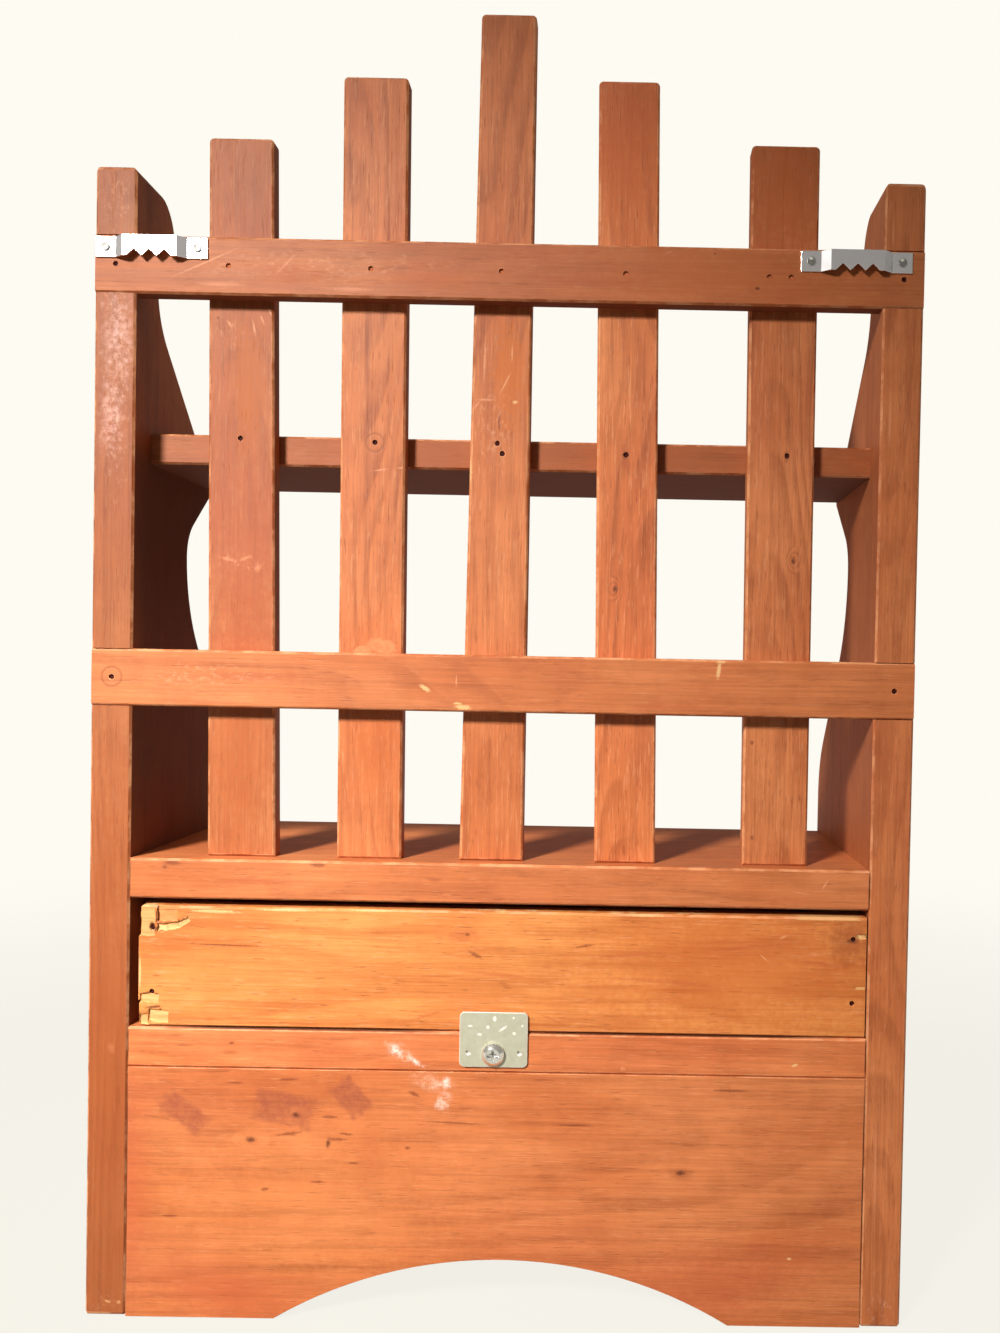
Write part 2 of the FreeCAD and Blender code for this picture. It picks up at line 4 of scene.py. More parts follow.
import bmesh
import bpy
from bpy.props import FloatProperty, FloatVectorProperty, PointerProperty
from bpy.types import Operator, Panel, PropertyGroup
from mathutils import Matrix, Vector, noise


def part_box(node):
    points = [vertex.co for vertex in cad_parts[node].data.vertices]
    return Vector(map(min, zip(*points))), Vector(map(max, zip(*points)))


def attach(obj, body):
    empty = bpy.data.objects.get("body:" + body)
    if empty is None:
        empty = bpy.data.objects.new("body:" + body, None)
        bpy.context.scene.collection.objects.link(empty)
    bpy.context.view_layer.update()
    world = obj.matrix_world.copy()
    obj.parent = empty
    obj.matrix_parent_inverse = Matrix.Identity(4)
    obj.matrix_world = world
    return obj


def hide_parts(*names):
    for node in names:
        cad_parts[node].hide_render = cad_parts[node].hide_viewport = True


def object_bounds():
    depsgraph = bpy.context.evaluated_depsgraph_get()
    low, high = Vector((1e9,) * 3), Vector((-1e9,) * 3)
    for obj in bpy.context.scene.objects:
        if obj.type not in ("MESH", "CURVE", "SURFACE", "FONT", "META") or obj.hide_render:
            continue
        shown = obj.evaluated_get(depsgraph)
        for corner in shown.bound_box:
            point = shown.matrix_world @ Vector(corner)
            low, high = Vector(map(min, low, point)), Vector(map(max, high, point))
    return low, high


bl_info = {
    "name": "Wall Shelf with Drawer",
    "version": (1, 0, 0),
    "blender": (4, 5, 0),
    "location": "3D View > Sidebar > Wall Shelf",
    "description": "Finishes the wall shelf: worn stained pine, a paler drawer, zinc hangers and a stage",
    "category": "Object",
}

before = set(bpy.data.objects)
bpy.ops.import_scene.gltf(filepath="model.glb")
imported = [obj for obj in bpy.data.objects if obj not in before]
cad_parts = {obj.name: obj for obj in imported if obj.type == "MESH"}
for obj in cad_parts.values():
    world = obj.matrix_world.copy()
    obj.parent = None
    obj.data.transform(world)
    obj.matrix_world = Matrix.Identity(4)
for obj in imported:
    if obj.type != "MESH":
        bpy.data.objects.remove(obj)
cad_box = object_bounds()

MM = 0.001

# How the meshes are joined and rounded.
WELD = 1e-6
FLAT_ANGLE = math.radians(0.4)
SHARP_ANGLE = math.radians(35)
NARROW_FACE = 1.2 * MM
SLANTED = 0.2
ROUNDING_STEPS = 2
CROWN_STEPS = 4

# The knob's outline: share of its radius, and share of its reach from the drawer's front.
KNOB_OUTLINE = [
    (0.0, 0.0), (0.55, 0.0), (0.62, 0.0), (0.636, 0.02), (0.62, 0.06), (0.5, 0.18), (0.472, 0.29),
    (0.56, 0.4), (0.84, 0.48), (0.98, 0.55), (1.0, 0.62), (0.96, 0.71), (0.8, 0.84), (0.55, 0.93),
    (0.28, 0.985), (0.0, 1.0),
]
KNOB_STEPS = 32
KNOB_LEVELS = 2
KNOB_HEART = (4 * MM, 30 * MM, 0.0)
KNOB_RINGS = 420.0

# The stage, in metres: the floor, the middle of the shelf, and the lamps with their place, target, size,
# spread in degrees, and whether they show in gloss.
FLOOR_RADIUS = 6.0
FLOOR_SIDES = 96
FLOOR_DROP = 0.2 * MM
MIDDLE = (0.0, 0.0, 0.24)
LAMPS = {
    "key": ((0.42, 0.85, 0.78), (0.11, 0.05, 0.115), 0.16, 50.0, True),
    "glint": ((0.66, 0.55, 0.77), (-0.12, 0.06, 0.4), 0.14, 180.0, True),
    "low": ((0.1, 0.45, 0.15), (0.04, 0.05, 0.16), 0.22, 180.0, True),
    "side": ((-1.2, 0.05, 0.8), MIDDLE, 0.25, 180.0, False),
    "front": ((0.15, -1.3, 0.36), MIDDLE, 0.4, 180.0, False),
}
LAMP_COLOUR = (1.0, 0.985, 0.96)
SKY_COLOUR = (1.0, 0.99, 0.975, 1.0)
SKY_GLOSS = 0.2

# For each direction of the grain: the two axes across it, then the one along it.
GRAIN = {"X": ("Y", "Z", "X"), "Y": ("Z", "X", "Y"), "Z": ("X", "Y", "Z")}

# How far the trunk wanders and leans, and how its patterns move from board to board.
TRUNK_WARP = 0.03
TRUNK_LEAN = 0.014
LEAN_TURN = 5.0
SEED_STEP = (1.7, 2.9, 0.83)

# Patterns: cycles in a metre across the grain and along it, detail and roughness.
PATTERNS = {
    "warp": (14.0, 3.5, 2.0, 0.5),
    "patchy": (160.0, 5.0, 2.0, 0.5),
    "fibre": (1200.0, 22.0, 3.0, 0.65),
    "streak": (240.0, 7.0, 3.0, 0.6),
    "band": (430.0, 20.0, 3.0, 0.6),
    "fleck": (1300.0, 130.0, 2.0, 0.5),
    "glint": (1500.0, 110.0, 2.0, 0.6),
    "blotch": (30.0, 13.0, 4.0, 0.55),
    "flush": (24.0, 9.0, 3.0, 0.5),
    "mottle": (90.0, 90.0, 4.0, 0.65),
    "rubbed": (110.0, 110.0, 4.0, 0.65),
    "fray": (30.0, 34.0, 4.0, 0.65),
    "coarse_grit": (420.0, 420.0, 3.0, 0.6),
    "fine_grit": (1500.0, 1500.0, 3.0, 0.6),
    "crumbs": (640.0, 360.0, 5.0, 0.75),
    "cloud": (560.0, 560.0, 4.0, 0.65),
    "panel_fibre": (700.0, 14.0, 3.0, 0.6),
    "panel_broad": (70.0, 5.0, 3.0, 0.5),
    "knob_fibre": (800.0, 60.0, 3.0, 0.6),
    "knob_rubbed": (160.0, 160.0, 4.0, 0.6),
    "lathe": (60.0, 2600.0, 1.0, 0.5),
    "rolled": (2400.0, 60.0, 2.0, 0.5),
    "tarnish": (240.0, 240.0, 4.0, 0.6),
    "speck": (1900.0, 1900.0, 2.0, 0.5),
    "rusty": (900.0, 900.0, 3.0, 0.6),
    "floor": (60.0, 60.0, 3.0, 0.5),
}

# Lesser colours, in screen values.
TINTS = {
    "fleck": (112, 50, 24),
    "end_grain": (110, 52, 26),
    "panel_pale": (216, 168, 118),
    "panel_deep": (134, 86, 48),
    "knob_deep": (104, 48, 24),
    "speck": (112, 100, 82),
    "bright_edge": (240, 236, 222),
    "dull_hanger": (208, 206, 200),
    "dull_plate": (174, 169, 142),
    "dull_screw": (150, 144, 130),
    "dull_nail": (104, 100, 92),
    "rust": (84, 34, 22),
    "old_filler": (170, 92, 56),
    "floor": (150, 143, 132),
    "floor_deep": (136, 129, 118),
}

MarkKind = namedtuple("MarkKind", "colour strength softness relief shape")
Mark = namedtuple("Mark", "kind x z wide tall turn", defaults=(0,))
Sawn = namedtuple("Sawn", "run seed lean deep gap figure gain")

# Kinds of mark: colour on the screen, strength, softness of the rim, height of the relief, shape.
MARK_KINDS = {
    "faint": MarkKind((186, 88, 50), 0.4, 0.9, 0.0, "round"),
    "ruddy": MarkKind((190, 88, 52), 0.5, 1.0, 0.0, "round"),
    # aged: darker aged wood, and on some boards painted shade where less light falls.
    "aged": MarkKind((204, 102, 44), 0.6, 1.0, 0.0, "round"),
    "tint": MarkKind((148, 72, 52), 0.7, 0.35, 0.0, "patch"),
    "amber": MarkKind((206, 108, 38), 0.8, 0.8, 0.0, "round"),
    "blond": MarkKind((232, 150, 84), 0.25, 1.0, 0.0, "round"),
    "stain": MarkKind((148, 72, 38), 0.5, 0.85, 0.0, "round"),
    "worn": MarkKind((230, 150, 104), 0.5, 0.9, -0.1, "round"),
    "chafed": MarkKind((240, 156, 104), 0.7, 0.3, -0.2, "round"),
    "scuff": MarkKind((236, 170, 128), 0.42, 0.8, -0.2, "scattered"),
    "flaked": MarkKind((242, 190, 160), 0.42, 0.9, -0.3, "scattered"),
    "chalky": MarkKind((246, 196, 180), 0.5, 1.0, -0.1, "cloud"),
    "scratch": MarkKind((240, 172, 126), 0.55, 0.9, -0.2, "round"),
    "haze": MarkKind((250, 214, 190), 0.55, 1.0, 0.0, "cloud"),
    "smudge": MarkKind((254, 240, 226), 0.75, 0.9, 0.1, "cloud"),
    "dash": MarkKind((118, 52, 26), 0.65, 0.7, -0.2, "round"),
    "dent": MarkKind((116, 54, 30), 0.7, 0.8, -0.5, "round"),
    "knot": MarkKind((84, 36, 20), 0.85, 0.85, -0.2, "round"),
    "ring": MarkKind((112, 54, 30), 0.35, 0.3, -0.3, "ring"),
    "bare": MarkKind((240, 190, 128), 0.8, 0.6, -0.5, "round"),
    "chip": MarkKind((238, 184, 116), 0.75, 0.3, -0.5, "square"),
    "rust": MarkKind((92, 44, 22), 0.8, 0.8, -0.3, "round"),
    "seam": MarkKind((50, 22, 10), 0.8, 0.5, -0.4, "strip"),
    # spot: a painted highlight, over small raised dimples on the stop plate and on the hangers' nail heads.
    "spot": MarkKind((246, 243, 228), 0.9, 0.6, 0.2, "round"),
    # pit: painted shade in the screw's cross and in two small hollows of the stop plate.
    "pit": MarkKind((70, 64, 50), 0.8, 0.6, -0.3, "round"),
}

# How ragged the rim of each shape is, and which shapes have straight sides.
RAGGED = {"round": 1.2, "scattered": 1.2, "cloud": 1.2, "square": 0.6, "patch": 0.7, "strip": 0.0}
STRAIGHT = ("square", "patch", "strip")

# Marks smaller than this get the finer grit, and how deep marks and knots reach, in millimetres.
FINE_MARK = 4.0
MARK_DEPTH = 5.0
KNOT_DEPTH = 14.0

# How far the rings bend round a knot.
KNOT_PUSH = 3.0 * MM

# Kinds that lie in the stain itself, or are painted shade over it, and so are as light or dark as the board
# is.
SOAKED = ("faint", "ruddy", "aged", "amber", "blond", "tint", "stain")

# Marks on the faces toward the wall, by kind, in millimetres: x, z, width, height, and any turn in degrees.
MARKS = {
    "apron": {
        "tint": [(116.3, 77.3, 21, 10, 38), (54.2, 83.7, 17, 11, 50), (79.1, 79, 25, 14, 12)],
        "faint": [(46.8, 61.6, 14, 28), (66.8, 52, 80, 1.8, 3), (82, 15, 50, 2, -5)],
        "blond": [(70, 42, 170, 90)],
        "ruddy": [(100, 10, 110, 34, 14), (-80, 16, 130, 40, -12), (137, 45, 26, 150)],
        "knot": [
            (91.4, 67.4, 5.4, 3), (74.6, 76.9, 4, 2.8, 20), (62.5, 66.4, 2.2, 4.8, 10),
            (-69.2, 57.5, 5, 2.8),
        ],
        "dash": [
            (77.9, 90.2, 10, 1.4, -3), (62.1, 76.4, 8, 1.6), (77.1, 69.9, 14, 1.6, -8),
            (97.5, 88.6, 8, 1.2), (59.2, 68, 10, 1.5), (85.8, 48.9, 4.4, 1.6, -8), (66.3, 51.9, 7, 1.2),
            (32.9, 65.2, 3, 1.8), (14.9, 74.9, 30, 1, 2), (-87.6, 88.8, 18, 1.6), (-29.2, 74.8, 18, 1.4),
            (30.8, 85.6, 6, 2, 24), (55.9, 70.1, 7, 1.4, 6), (53.1, 59.2, 6, 1.2), (121.1, 38.2, 9, 1.2),
        ],
        "bare": [(-110.5, 25.8, 2.2, 1.3)],
        "haze": [(24, 90, 20, 9, 15), (19.5, 84, 8, 12)],
        "smudge": [(19, 89.6, 5.4, 6.4), (20.6, 81.8, 8, 5.4, -20)],
        "seam": [(137.5, 47, 0.9, 96), (-137.5, 47, 0.9, 96)],
    },
    "drawer_floor_board": {
        "haze": [(36, 101, 18, 9, 30)],
        "smudge": [(37.4, 101.4, 8, 5, 35), (30.2, 97.6, 9, 2.6, 32)],
        "bare": [(-110.9, 98.7, 3.2, 1.4, -20)],
        "stain": [(99.5, 100.1, 9, 2.4), (116.2, 102.5, 10, 2)],
        "dash": [(99, 103.5, 3, 1.6)],
        "worn": [(-46.9, 96.4, 3, 2.6)],
        "faint": [(60, 101, 26, 3)],
        # The two long strips at z 109 are a painted shadow in the gap under the drawer; the short upright
        # ones are dark joints.
        "seam": [(74, 109, 126, 1.1), (-64, 109, 148, 0.8), (137.5, 102, 0.9, 16), (-137.5, 102, 0.9, 16)],
    },
    "drawer_back": {
        # The broad aged mark, over the half toward the left side, is painted shade.
        "aged": [(-92, 132, 190, 90)],
        "stain": [(-131, 145, 26, 24)],
        "bare": [
            (133.4, 129, 1.2, 16), (105.8, 152.6, 24, 1.4, 1), (79.1, 153.4, 26, 1), (47.3, 153.8, 24, 0.8),
            (-54.1, 153.8, 17, 1.2),
        ],
        "chip": [(-122.6, 153.8, 27, 1.4), (-135, 147.2, 4.4, 1.8), (-135, 128, 4.2, 1.2)],
        "rust": [(128.3, 145.4, 4.4, 4), (128.4, 116.4, 8.4, 1.8, -8), (-131.6, 145.6, 6, 2.6)],
        "faint": [
            (-118, 137, 34, 2.2, 8), (-96, 143, 46, 2, -6), (-64, 129, 60, 2.4, 3), (-48, 139, 40, 2.2, -5),
            (2, 131, 50, 2.2, 6), (27, 114.8, 25, 1.6, -18), (-20, 114.4, 17, 1.6, 23), (15, 145, 26, 7),
        ],
        # The two long strips at z 109.3 are a painted shadow in the gap under the drawer; the short one is a
        # dark joint.
        "seam": [(127.4, 150.3, 0.7, 5.6), (72, 109.3, 126, 1.5), (-64, 109.3, 146, 1)],
        "dash": [
            (122.6, 152.8, 9, 0.8), (102, 140, 36, 1, 1), (-31.8, 142, 11, 1.1, -10),
            (11.9, 145.5, 2.6, 1.6), (8.7, 137.9, 7, 2, 28),
        ],
        "worn": [(-117.6, 140.4, 8, 1.5)],
        "scratch": [(-98.9, 138.6, 6.6, 0.9, 40), (-105.7, 146.7, 5, 1.2, -25)],
    },
    "drawer_top_board": {
        "dent": [(124.4, 168.8, 3.2, 1.8)],
        "dash": [(121.8, 170.6, 9, 3.4), (67.7, 170.6, 8, 2.6)],
        "stain": [(33.4, 158.1, 9, 2), (24.2, 165.8, 8, 2)],
        "worn": [(-111.6, 163.4, 9, 1, 8)],
        "scratch": [(-120.8, 166.5, 5.4, 1, -60)],
        "faint": [(90, 164, 40, 4)],
        "seam": [(137.5, 164.5, 0.9, 16), (-137.5, 164.5, 0.9, 16)],
    },
    "middle_rail": {
        "bare": [
            (29.1, 237, 5.6, 2.2, 30), (14.9, 230.2, 8, 2.4, 5), (17, 231.6, 4, 1),
            (-79.6, 245.6, 2, 8.4, 8), (-80.4, 248.8, 4.6, 1.6),
        ],
        "ring": [(144.9, 239.1, 7.2, 7.2)],
        "faint": [(90, 240, 60, 5), (-60, 232, 50, 4)],
        "scuff": [(110, 240, 60, 14)],
        "scratch": [(17.5, 240, 0.8, 6)],
    },
    "top_rail": {
        "scratch": [(112.2, 391.8, 34, 0.9, -24.5), (82.9, 391.5, 16, 0.8, -46)],
        "worn": [(106.6, 384, 24, 2.4), (58.9, 383.2, 24, 2.2), (-58, 399, 5, 1, -20)],
        "stain": [(40.7, 391.3, 16, 1.8)],
        "scuff": [(70, 391, 130, 16)],
        "faint": [(-30, 388, 60, 7)],
        # The broad aged mark toward the left side is painted shade; the two smaller ones are aged wood.
        "aged": [(80, 388, 50, 13), (30, 388, 64, 16), (-80, 391, 170, 50)],
        "knot": [(-91, 386.5, 2.6, 1.8)],
        "dent": [(-75.1, 398.8, 1.4, 1.2)],
    },
    "slat_1": {
        # The broad stain and aged marks at the top are painted shade; the narrow stain is a real stain.
        "stain": [(-103, 430, 60, 100), (-104.4, 336, 2.2, 16)],
        "aged": [(-103, 425, 60, 110)],
        "knot": [(-107.5, 287.4, 2.6, 4)],
        "dent": [(-93.5, 218.5, 1.8, 2.2), (-94.2, 182.5, 2, 2.4)],
        "worn": [(-103, 226, 8, 5)],
        "rust": [(-104.3, 326.6, 2.8, 5.6)],
    },
    "slat_2": {
        # The broad aged and faint marks at the top are painted shade.
        "aged": [(-42, 440, 60, 90)],
        "faint": [(-42, 455, 60, 90)],
        "knot": [(-40.6, 275.6, 2.6, 4)],
        "worn": [(-39, 225, 3, 4)],
        "rust": [(-43.5, 325.6, 3, 3.6)],
        "stain": [(-43.3, 324.5, 5, 18)],
    },
    "slat_3": {
        "amber": [(1, 356, 18, 60)],
        "bare": [(14.9, 319.1, 2.2, 12), (-1.7, 344.9, 2.4, 1.8)],
        "scratch": [
            (10, 359.4, 1, 23, 1), (-0.3, 363.2, 1, 9), (2.1, 351.7, 1, 12, 26), (9.2, 345.5, 9, 1.1),
            (12.6, 343.5, 5, 1, -51), (14, 366.6, 1, 12),
        ],
        "dash": [(4, 337.7, 1.6, 10)],
        "scuff": [(6, 336, 22, 40)],
    },
    "slat_4": {
        "chafed": [(46.8, 252.4, 12, 7, 10), (54, 250.6, 8, 4)],
        "ring": [(50.5, 328.7, 6.8, 6.8)],
        "scratch": [(48.5, 318.5, 8, 0.9, -8), (41, 319.4, 4, 0.8, -6)],
        "faint": [(56, 300, 1.2, 50)],
        "aged": [(48, 230, 40, 120)],
    },
    "slat_5": {
        "amber": [(98.5, 350, 17, 76)],
        "aged": [(98, 230, 40, 160)],
        "ruddy": [(98, 286, 70, 130)],
        "worn": [(105, 284, 9, 1.8, 10), (93.8, 281, 3.4, 4.6, 20), (98.6, 284.4, 7, 1.6, -24)],
        "scuff": [(101, 283, 24, 10), (106, 368, 14, 20)],
        "scratch": [
            (105.7, 372, 1.1, 4.4, -32), (96.4, 370.7, 1.2, 9.4, -12), (93.3, 373.6, 1.1, 5.4, -22),
            (90.5, 376.5, 1, 4, -25),
        ],
        "dent": [(109.8, 374, 1.6, 1.6)],
    },
    "right_side": {
        "scuff": [(145, 385, 15, 50), (145, 415, 14, 30)],
        "flaked": [(144, 340, 14, 84), (145, 5.5, 15, 12)],
        "chalky": [(143.6, 366, 17, 62), (146, 336, 12, 44)],
        "bare": [(144, 5.6, 3, 1.2, 20), (139.8, 5.4, 2, 1.6)],
        "stain": [(141, 83, 3, 12)],
        "worn": [(143.6, 101, 4, 5)],
        # Painted shade: the broad aged mark makes the side darker towards the bottom.
        "aged": [(145, 90, 60, 420)],
    },
    "left_side": {
        "worn": [(-141, 339, 1.8, 26), (-142, 60, 1.6, 60), (-140.5, 408, 1.2, 14)],
        "flaked": [(-145, 7, 15, 14)],
    },
    "shelf": {
        # Painted shade: the slats shadow the shelf's back edge.
        "aged": [(0, 324, 400, 60)],
    },
    "stop_plate": {
        # Raised dimples with painted highlights.
        "spot": [
            (1.1, 114.6, 2.2, 2.6), (3.6, 111.4, 1.7, 1.7), (6.5, 108.7, 2, 1.5),
            (-2.1, 111, 4.8, 1.2, -36), (-6.2, 109.2, 1.8, 1.6), (-5.9, 115, 1.4, 1.2),
            (-9.2, 112.1, 1.2, 1.2), (10.1, 111.8, 2.4, 1), (10.2, 101.4, 1.5, 1.2),
            (-8.8, 101.4, 1.5, 1.2),
        ],
        # Painted shade in two small hollows.
        "pit": [(11.2, 102.2, 1.3, 1.3), (-7.8, 102.2, 1.3, 1.3)],
    },
    "hanger_nails": {
        # Painted highlights on the nail heads.
        "spot": [(-110.2, 397.4, 1.9, 1.3, 20), (-143.8, 397.4, 1.8, 1.5)],
    },
    "stop_plate_screw": {
        # Painted shade in the cross of the screw's head.
        "pit": [(1.4, 102, 4.2, 1.2), (1.4, 102, 1.2, 4.2)],
    },
}

# Chips broken out of the drawer's back, in millimetres: x, z, width, height, depth, turn in degrees, and how
# fresh their wood is.
CHIPS = [
    (131.2, 149.2, 6.4, 12.4, 0.5, 0, 0.6), (123.4, 151.6, 7.4, 6.0, 0.9, 0, 0.25),
    (134.3, 149.6, 1.8, 13.0, 4.0, 0, 1), (124.8, 146.4, 4.6, 2.6, 0.7, 0, 1),
    (121.2, 146.9, 5.0, 2.8, 0.7, -8, 1), (117.2, 148.4, 4.8, 2.0, 0.6, -30, 1),
    (134.2, 114.0, 1.6, 10.0, 4.0, 0, 1), (129.8, 119.8, 7.0, 3.4, 0.5, 3, 0.9),
    (126.4, 113.2, 7.4, 4.6, 0.6, 4, 0.9), (131.8, 112.0, 3.0, 4.0, 0.5, 0, 0.8),
    (134.8, 156.2, 5.0, 5.0, 6.0, 45, 1), (-135.2, 147.3, 3.4, 1.8, 0.5, 0, 1),
    (-122.6, 155.4, 26.0, 1.8, 0.5, 0, 1),
]
CHIP_SLANT = 3.0
CHIP_CUTS = 6
CHIP_GRIT = 1.6
CHIP_RAG = (0.5, 0.2, 0.5)
CHIP_SEED = 7

# How each board was sawn: grain direction, seed, where the heart of the tree lay across the wide face and
# through it, the gap between its rings, all in millimetres, the strength of its figure, and how light it is.
SAWN = {
    "left_side": Sawn("Z", 1.1, 4, 70, 2.1, 0.7, 0.92),
    "right_side": Sawn("Z", 2.3, -5, 64, 2.0, 0.7, 0.6),
    "top_rail": Sawn("X", 3.2, 5, -46, 2.6, 0.5, 0.78),
    "middle_rail": Sawn("X", 4.7, -7, -52, 2.8, 0.5, 0.92),
    "slat_1": Sawn("Z", 5.3, 6, -38, 1.7, 0.9, 0.92),
    "slat_2": Sawn("Z", 6.9, -9, -44, 1.6, 0.9, 1.1),
    "slat_3": Sawn("Z", 7.1, 3, -36, 1.9, 0.8, 0.94),
    "slat_4": Sawn("Z", 8.8, 11, -40, 1.5, 0.9, 0.93),
    "slat_5": Sawn("Z", 9.4, -4, -48, 1.7, 0.7, 0.74),
    # The shelf's low gain is partly painted shade from the slats over its back edge.
    "shelf": Sawn("X", 10.6, 16, -40, 2.6, 0.6, 0.62),
    "drawer_top_board": Sawn("X", 11.2, 30, -50, 2.8, 0.6, 0.95),
    "drawer_floor_board": Sawn("X", 12.9, 34, -42, 2.8, 0.6, 1.1),
    "apron": Sawn("X", 13.5, 18, -60, 5.0, 0.65, 0.99),
    "drawer_front": Sawn("X", 14.1, -6, 50, 2.8, 0.9, 0.9),
    "drawer_back": Sawn("X", 15.8, 5, -44, 2.6, 1.1, 0.98),
    "drawer_left_side": Sawn("Y", 16.4, 4, 40, 2.8, 0.8, 0.9),
    "drawer_right_side": Sawn("Y", 17.7, -6, -40, 2.8, 0.8, 0.9),
}
# How much painted shade falls on the inside face of each side, and the heights in metres between which it
# changes: most just under the shelf, less below, none over it.
SIDES = {"left_side": 0.5, "right_side": 1.0}
UNDER_SHELF = (0.24, 0.29)
OVER_SHELF = (0.318, 0.335)
LOW_PAINTED_SHADE = 0.75


def linear(red, green, blue):
    """A colour given in screen values from 0 to 255, in the linear values that shaders take."""
    return tuple(((value / 255 + 0.055) / 1.055) ** 2.4 for value in (red, green, blue))


def tint_of(name):
    """One of the lesser colours, in linear values."""
    return linear(*TINTS[name])


def paint(label, text, colour):
    """A colour property with a default given in screen values."""
    return FloatVectorProperty(
        name=label, description=text, subtype="COLOR", size=3, min=0.0, max=1.0, default=linear(*colour)
    )


def length(label, text, value):
    """A length property in metres."""
    return FloatProperty(name=label, description=text, unit="LENGTH", min=0.0, default=value)


def power(label, text, value):
    """A lamp's power in watts."""
    return FloatProperty(name=label, description=text, unit="POWER", min=0.0, default=value)


class ShelfTimber(PropertyGroup):
    """Colours of the wood and the rounding of its arrises."""

    stain: paint("Stain", "Main colour of the stained boards", (208, 115, 62))
    stain_pale: paint("Pale stain", "Colour of the paler blotches in the stain", (225, 135, 80))
    stain_deep: paint("Deep stain", "Colour of late wood and fibres in the stained boards", (142, 68, 32))
    drawer: paint("Drawer", "Main colour of the drawer's boards", (228, 138, 70))
    drawer_pale: paint("Pale drawer", "Colour of the paler blotches in the drawer's boards", (242, 158, 84))
    drawer_deep: paint("Deep drawer", "Colour of late wood and fibres in the drawer", (176, 90, 36))
    worn: paint("Worn arris", "Colour of arrises that are rubbed through", (242, 172, 122))
    panel: paint("Panel", "Main colour of the drawer's bottom panel", (196, 142, 92))
    knob: paint("Knob", "Main colour of the turned knob", (170, 90, 48))
    ruddy: paint("Ruddy stain", "Colour where the stain is redder", (196, 98, 58))
    fresh: paint("Fresh wood", "Colour of wood where it is chipped", (236, 184, 120))
    rounding: length("Arris rounding", "How far the arrises of the boards are rounded", 0.25 * MM)
    crown: length("Crown", "How far the upper ends of the sides are rounded", 3.0 * MM)


class ShelfMetal(PropertyGroup):
    """Colours of the metal pieces and the rounding of their edges."""

    hanger: paint("Hanger", "Colour of the zinc hangers", (234, 229, 228))
    plate: paint("Plate", "Colour of the stop plate", (190, 187, 165))
    screw: paint("Screw", "Colour of the screws", (214, 212, 204))
    nail: paint("Nail", "Colour of the bare nails", (54, 16, 14))
    filled_nail: paint("Filled nail", "Colour of the nails that are filled over", (196, 110, 68))
    hanger_nail: paint("Hanger nail", "Colour of the hangers' nails", (132, 130, 124))
    rounding: length("Edge rounding", "How far the edges of the metal pieces are rounded", 0.12 * MM)
    plate_rounding: length("Plate rounding", "How far the edges of the stop plate are rounded", 0.45 * MM)


class ShelfStage(PropertyGroup):
    """The floor, the lamps and the camera."""

    backdrop: paint("Backdrop", "Colour of the floor and of what lies behind the shelf", (254, 251, 242))
    key_power: power("Key light", "Power of the lamp behind the shelf, above its right", 1.78)
    glint_power: power("Glint light", "Power of the small lamp that shows in the metal", 0.1)
    low_power: power("Low light", "Power of the near lamp behind the shelf, low down", 0.08)
    side_power: power("Side light", "Power of the lamp at the left side", 2.2)
    front_power: power("Front light", "Power of the lamp that lights the front", 9.0)
    sky: FloatProperty(
        name="Sky", description="Strength of the even light from all round", min=0.0, default=0.08
    )
    camera_place: FloatVectorProperty(
        name="Camera place", description="Where the camera stands", subtype="TRANSLATION", unit="LENGTH",
        default=(-40.75 * MM, 443.38 * MM, 242.99 * MM),
    )
    camera_turn: FloatVectorProperty(
        name="Camera turn", description="How the camera is turned", subtype="EULER",
        default=(math.radians(88.988), math.radians(-1.085), math.radians(179.742)),
    )
    camera_lens: FloatProperty(
        name="Lens", description="Focal length of the camera in millimetres", default=28.087
    )
    camera_shift: FloatVectorProperty(
        name="Camera shift", description="Shift of the picture", size=2, default=(-0.08888, 0.02057)
    )


class Mixture:
    """Shader nodes being joined: adds nodes to a tree and gives back their outputs."""

    def __init__(self, tree):
        self.nodes = tree.nodes
        self.links = tree.links
        self.nodes.clear()

    def feed(self, socket, value):
        """Joins an output to a socket, or sets the socket's own value."""
        if isinstance(value, bpy.types.NodeSocket):
            self.links.new(value, socket)
        else:
            socket.default_value = value

    def node(self, kind, inputs=(), **settings):
        """Adds a node; inputs give a socket's name or number and what goes into it."""
        made = self.nodes.new("ShaderNode" + kind)
        for key, value in settings.items():
            setattr(made, key, value)
        for key, value in dict(inputs).items():
            self.feed(made.inputs[key], value)
        return made

    def math(self, operation, *values, clamp=False):
        """One step of arithmetic."""
        return self.node("Math", enumerate(values), operation=operation, use_clamp=clamp).outputs[0]


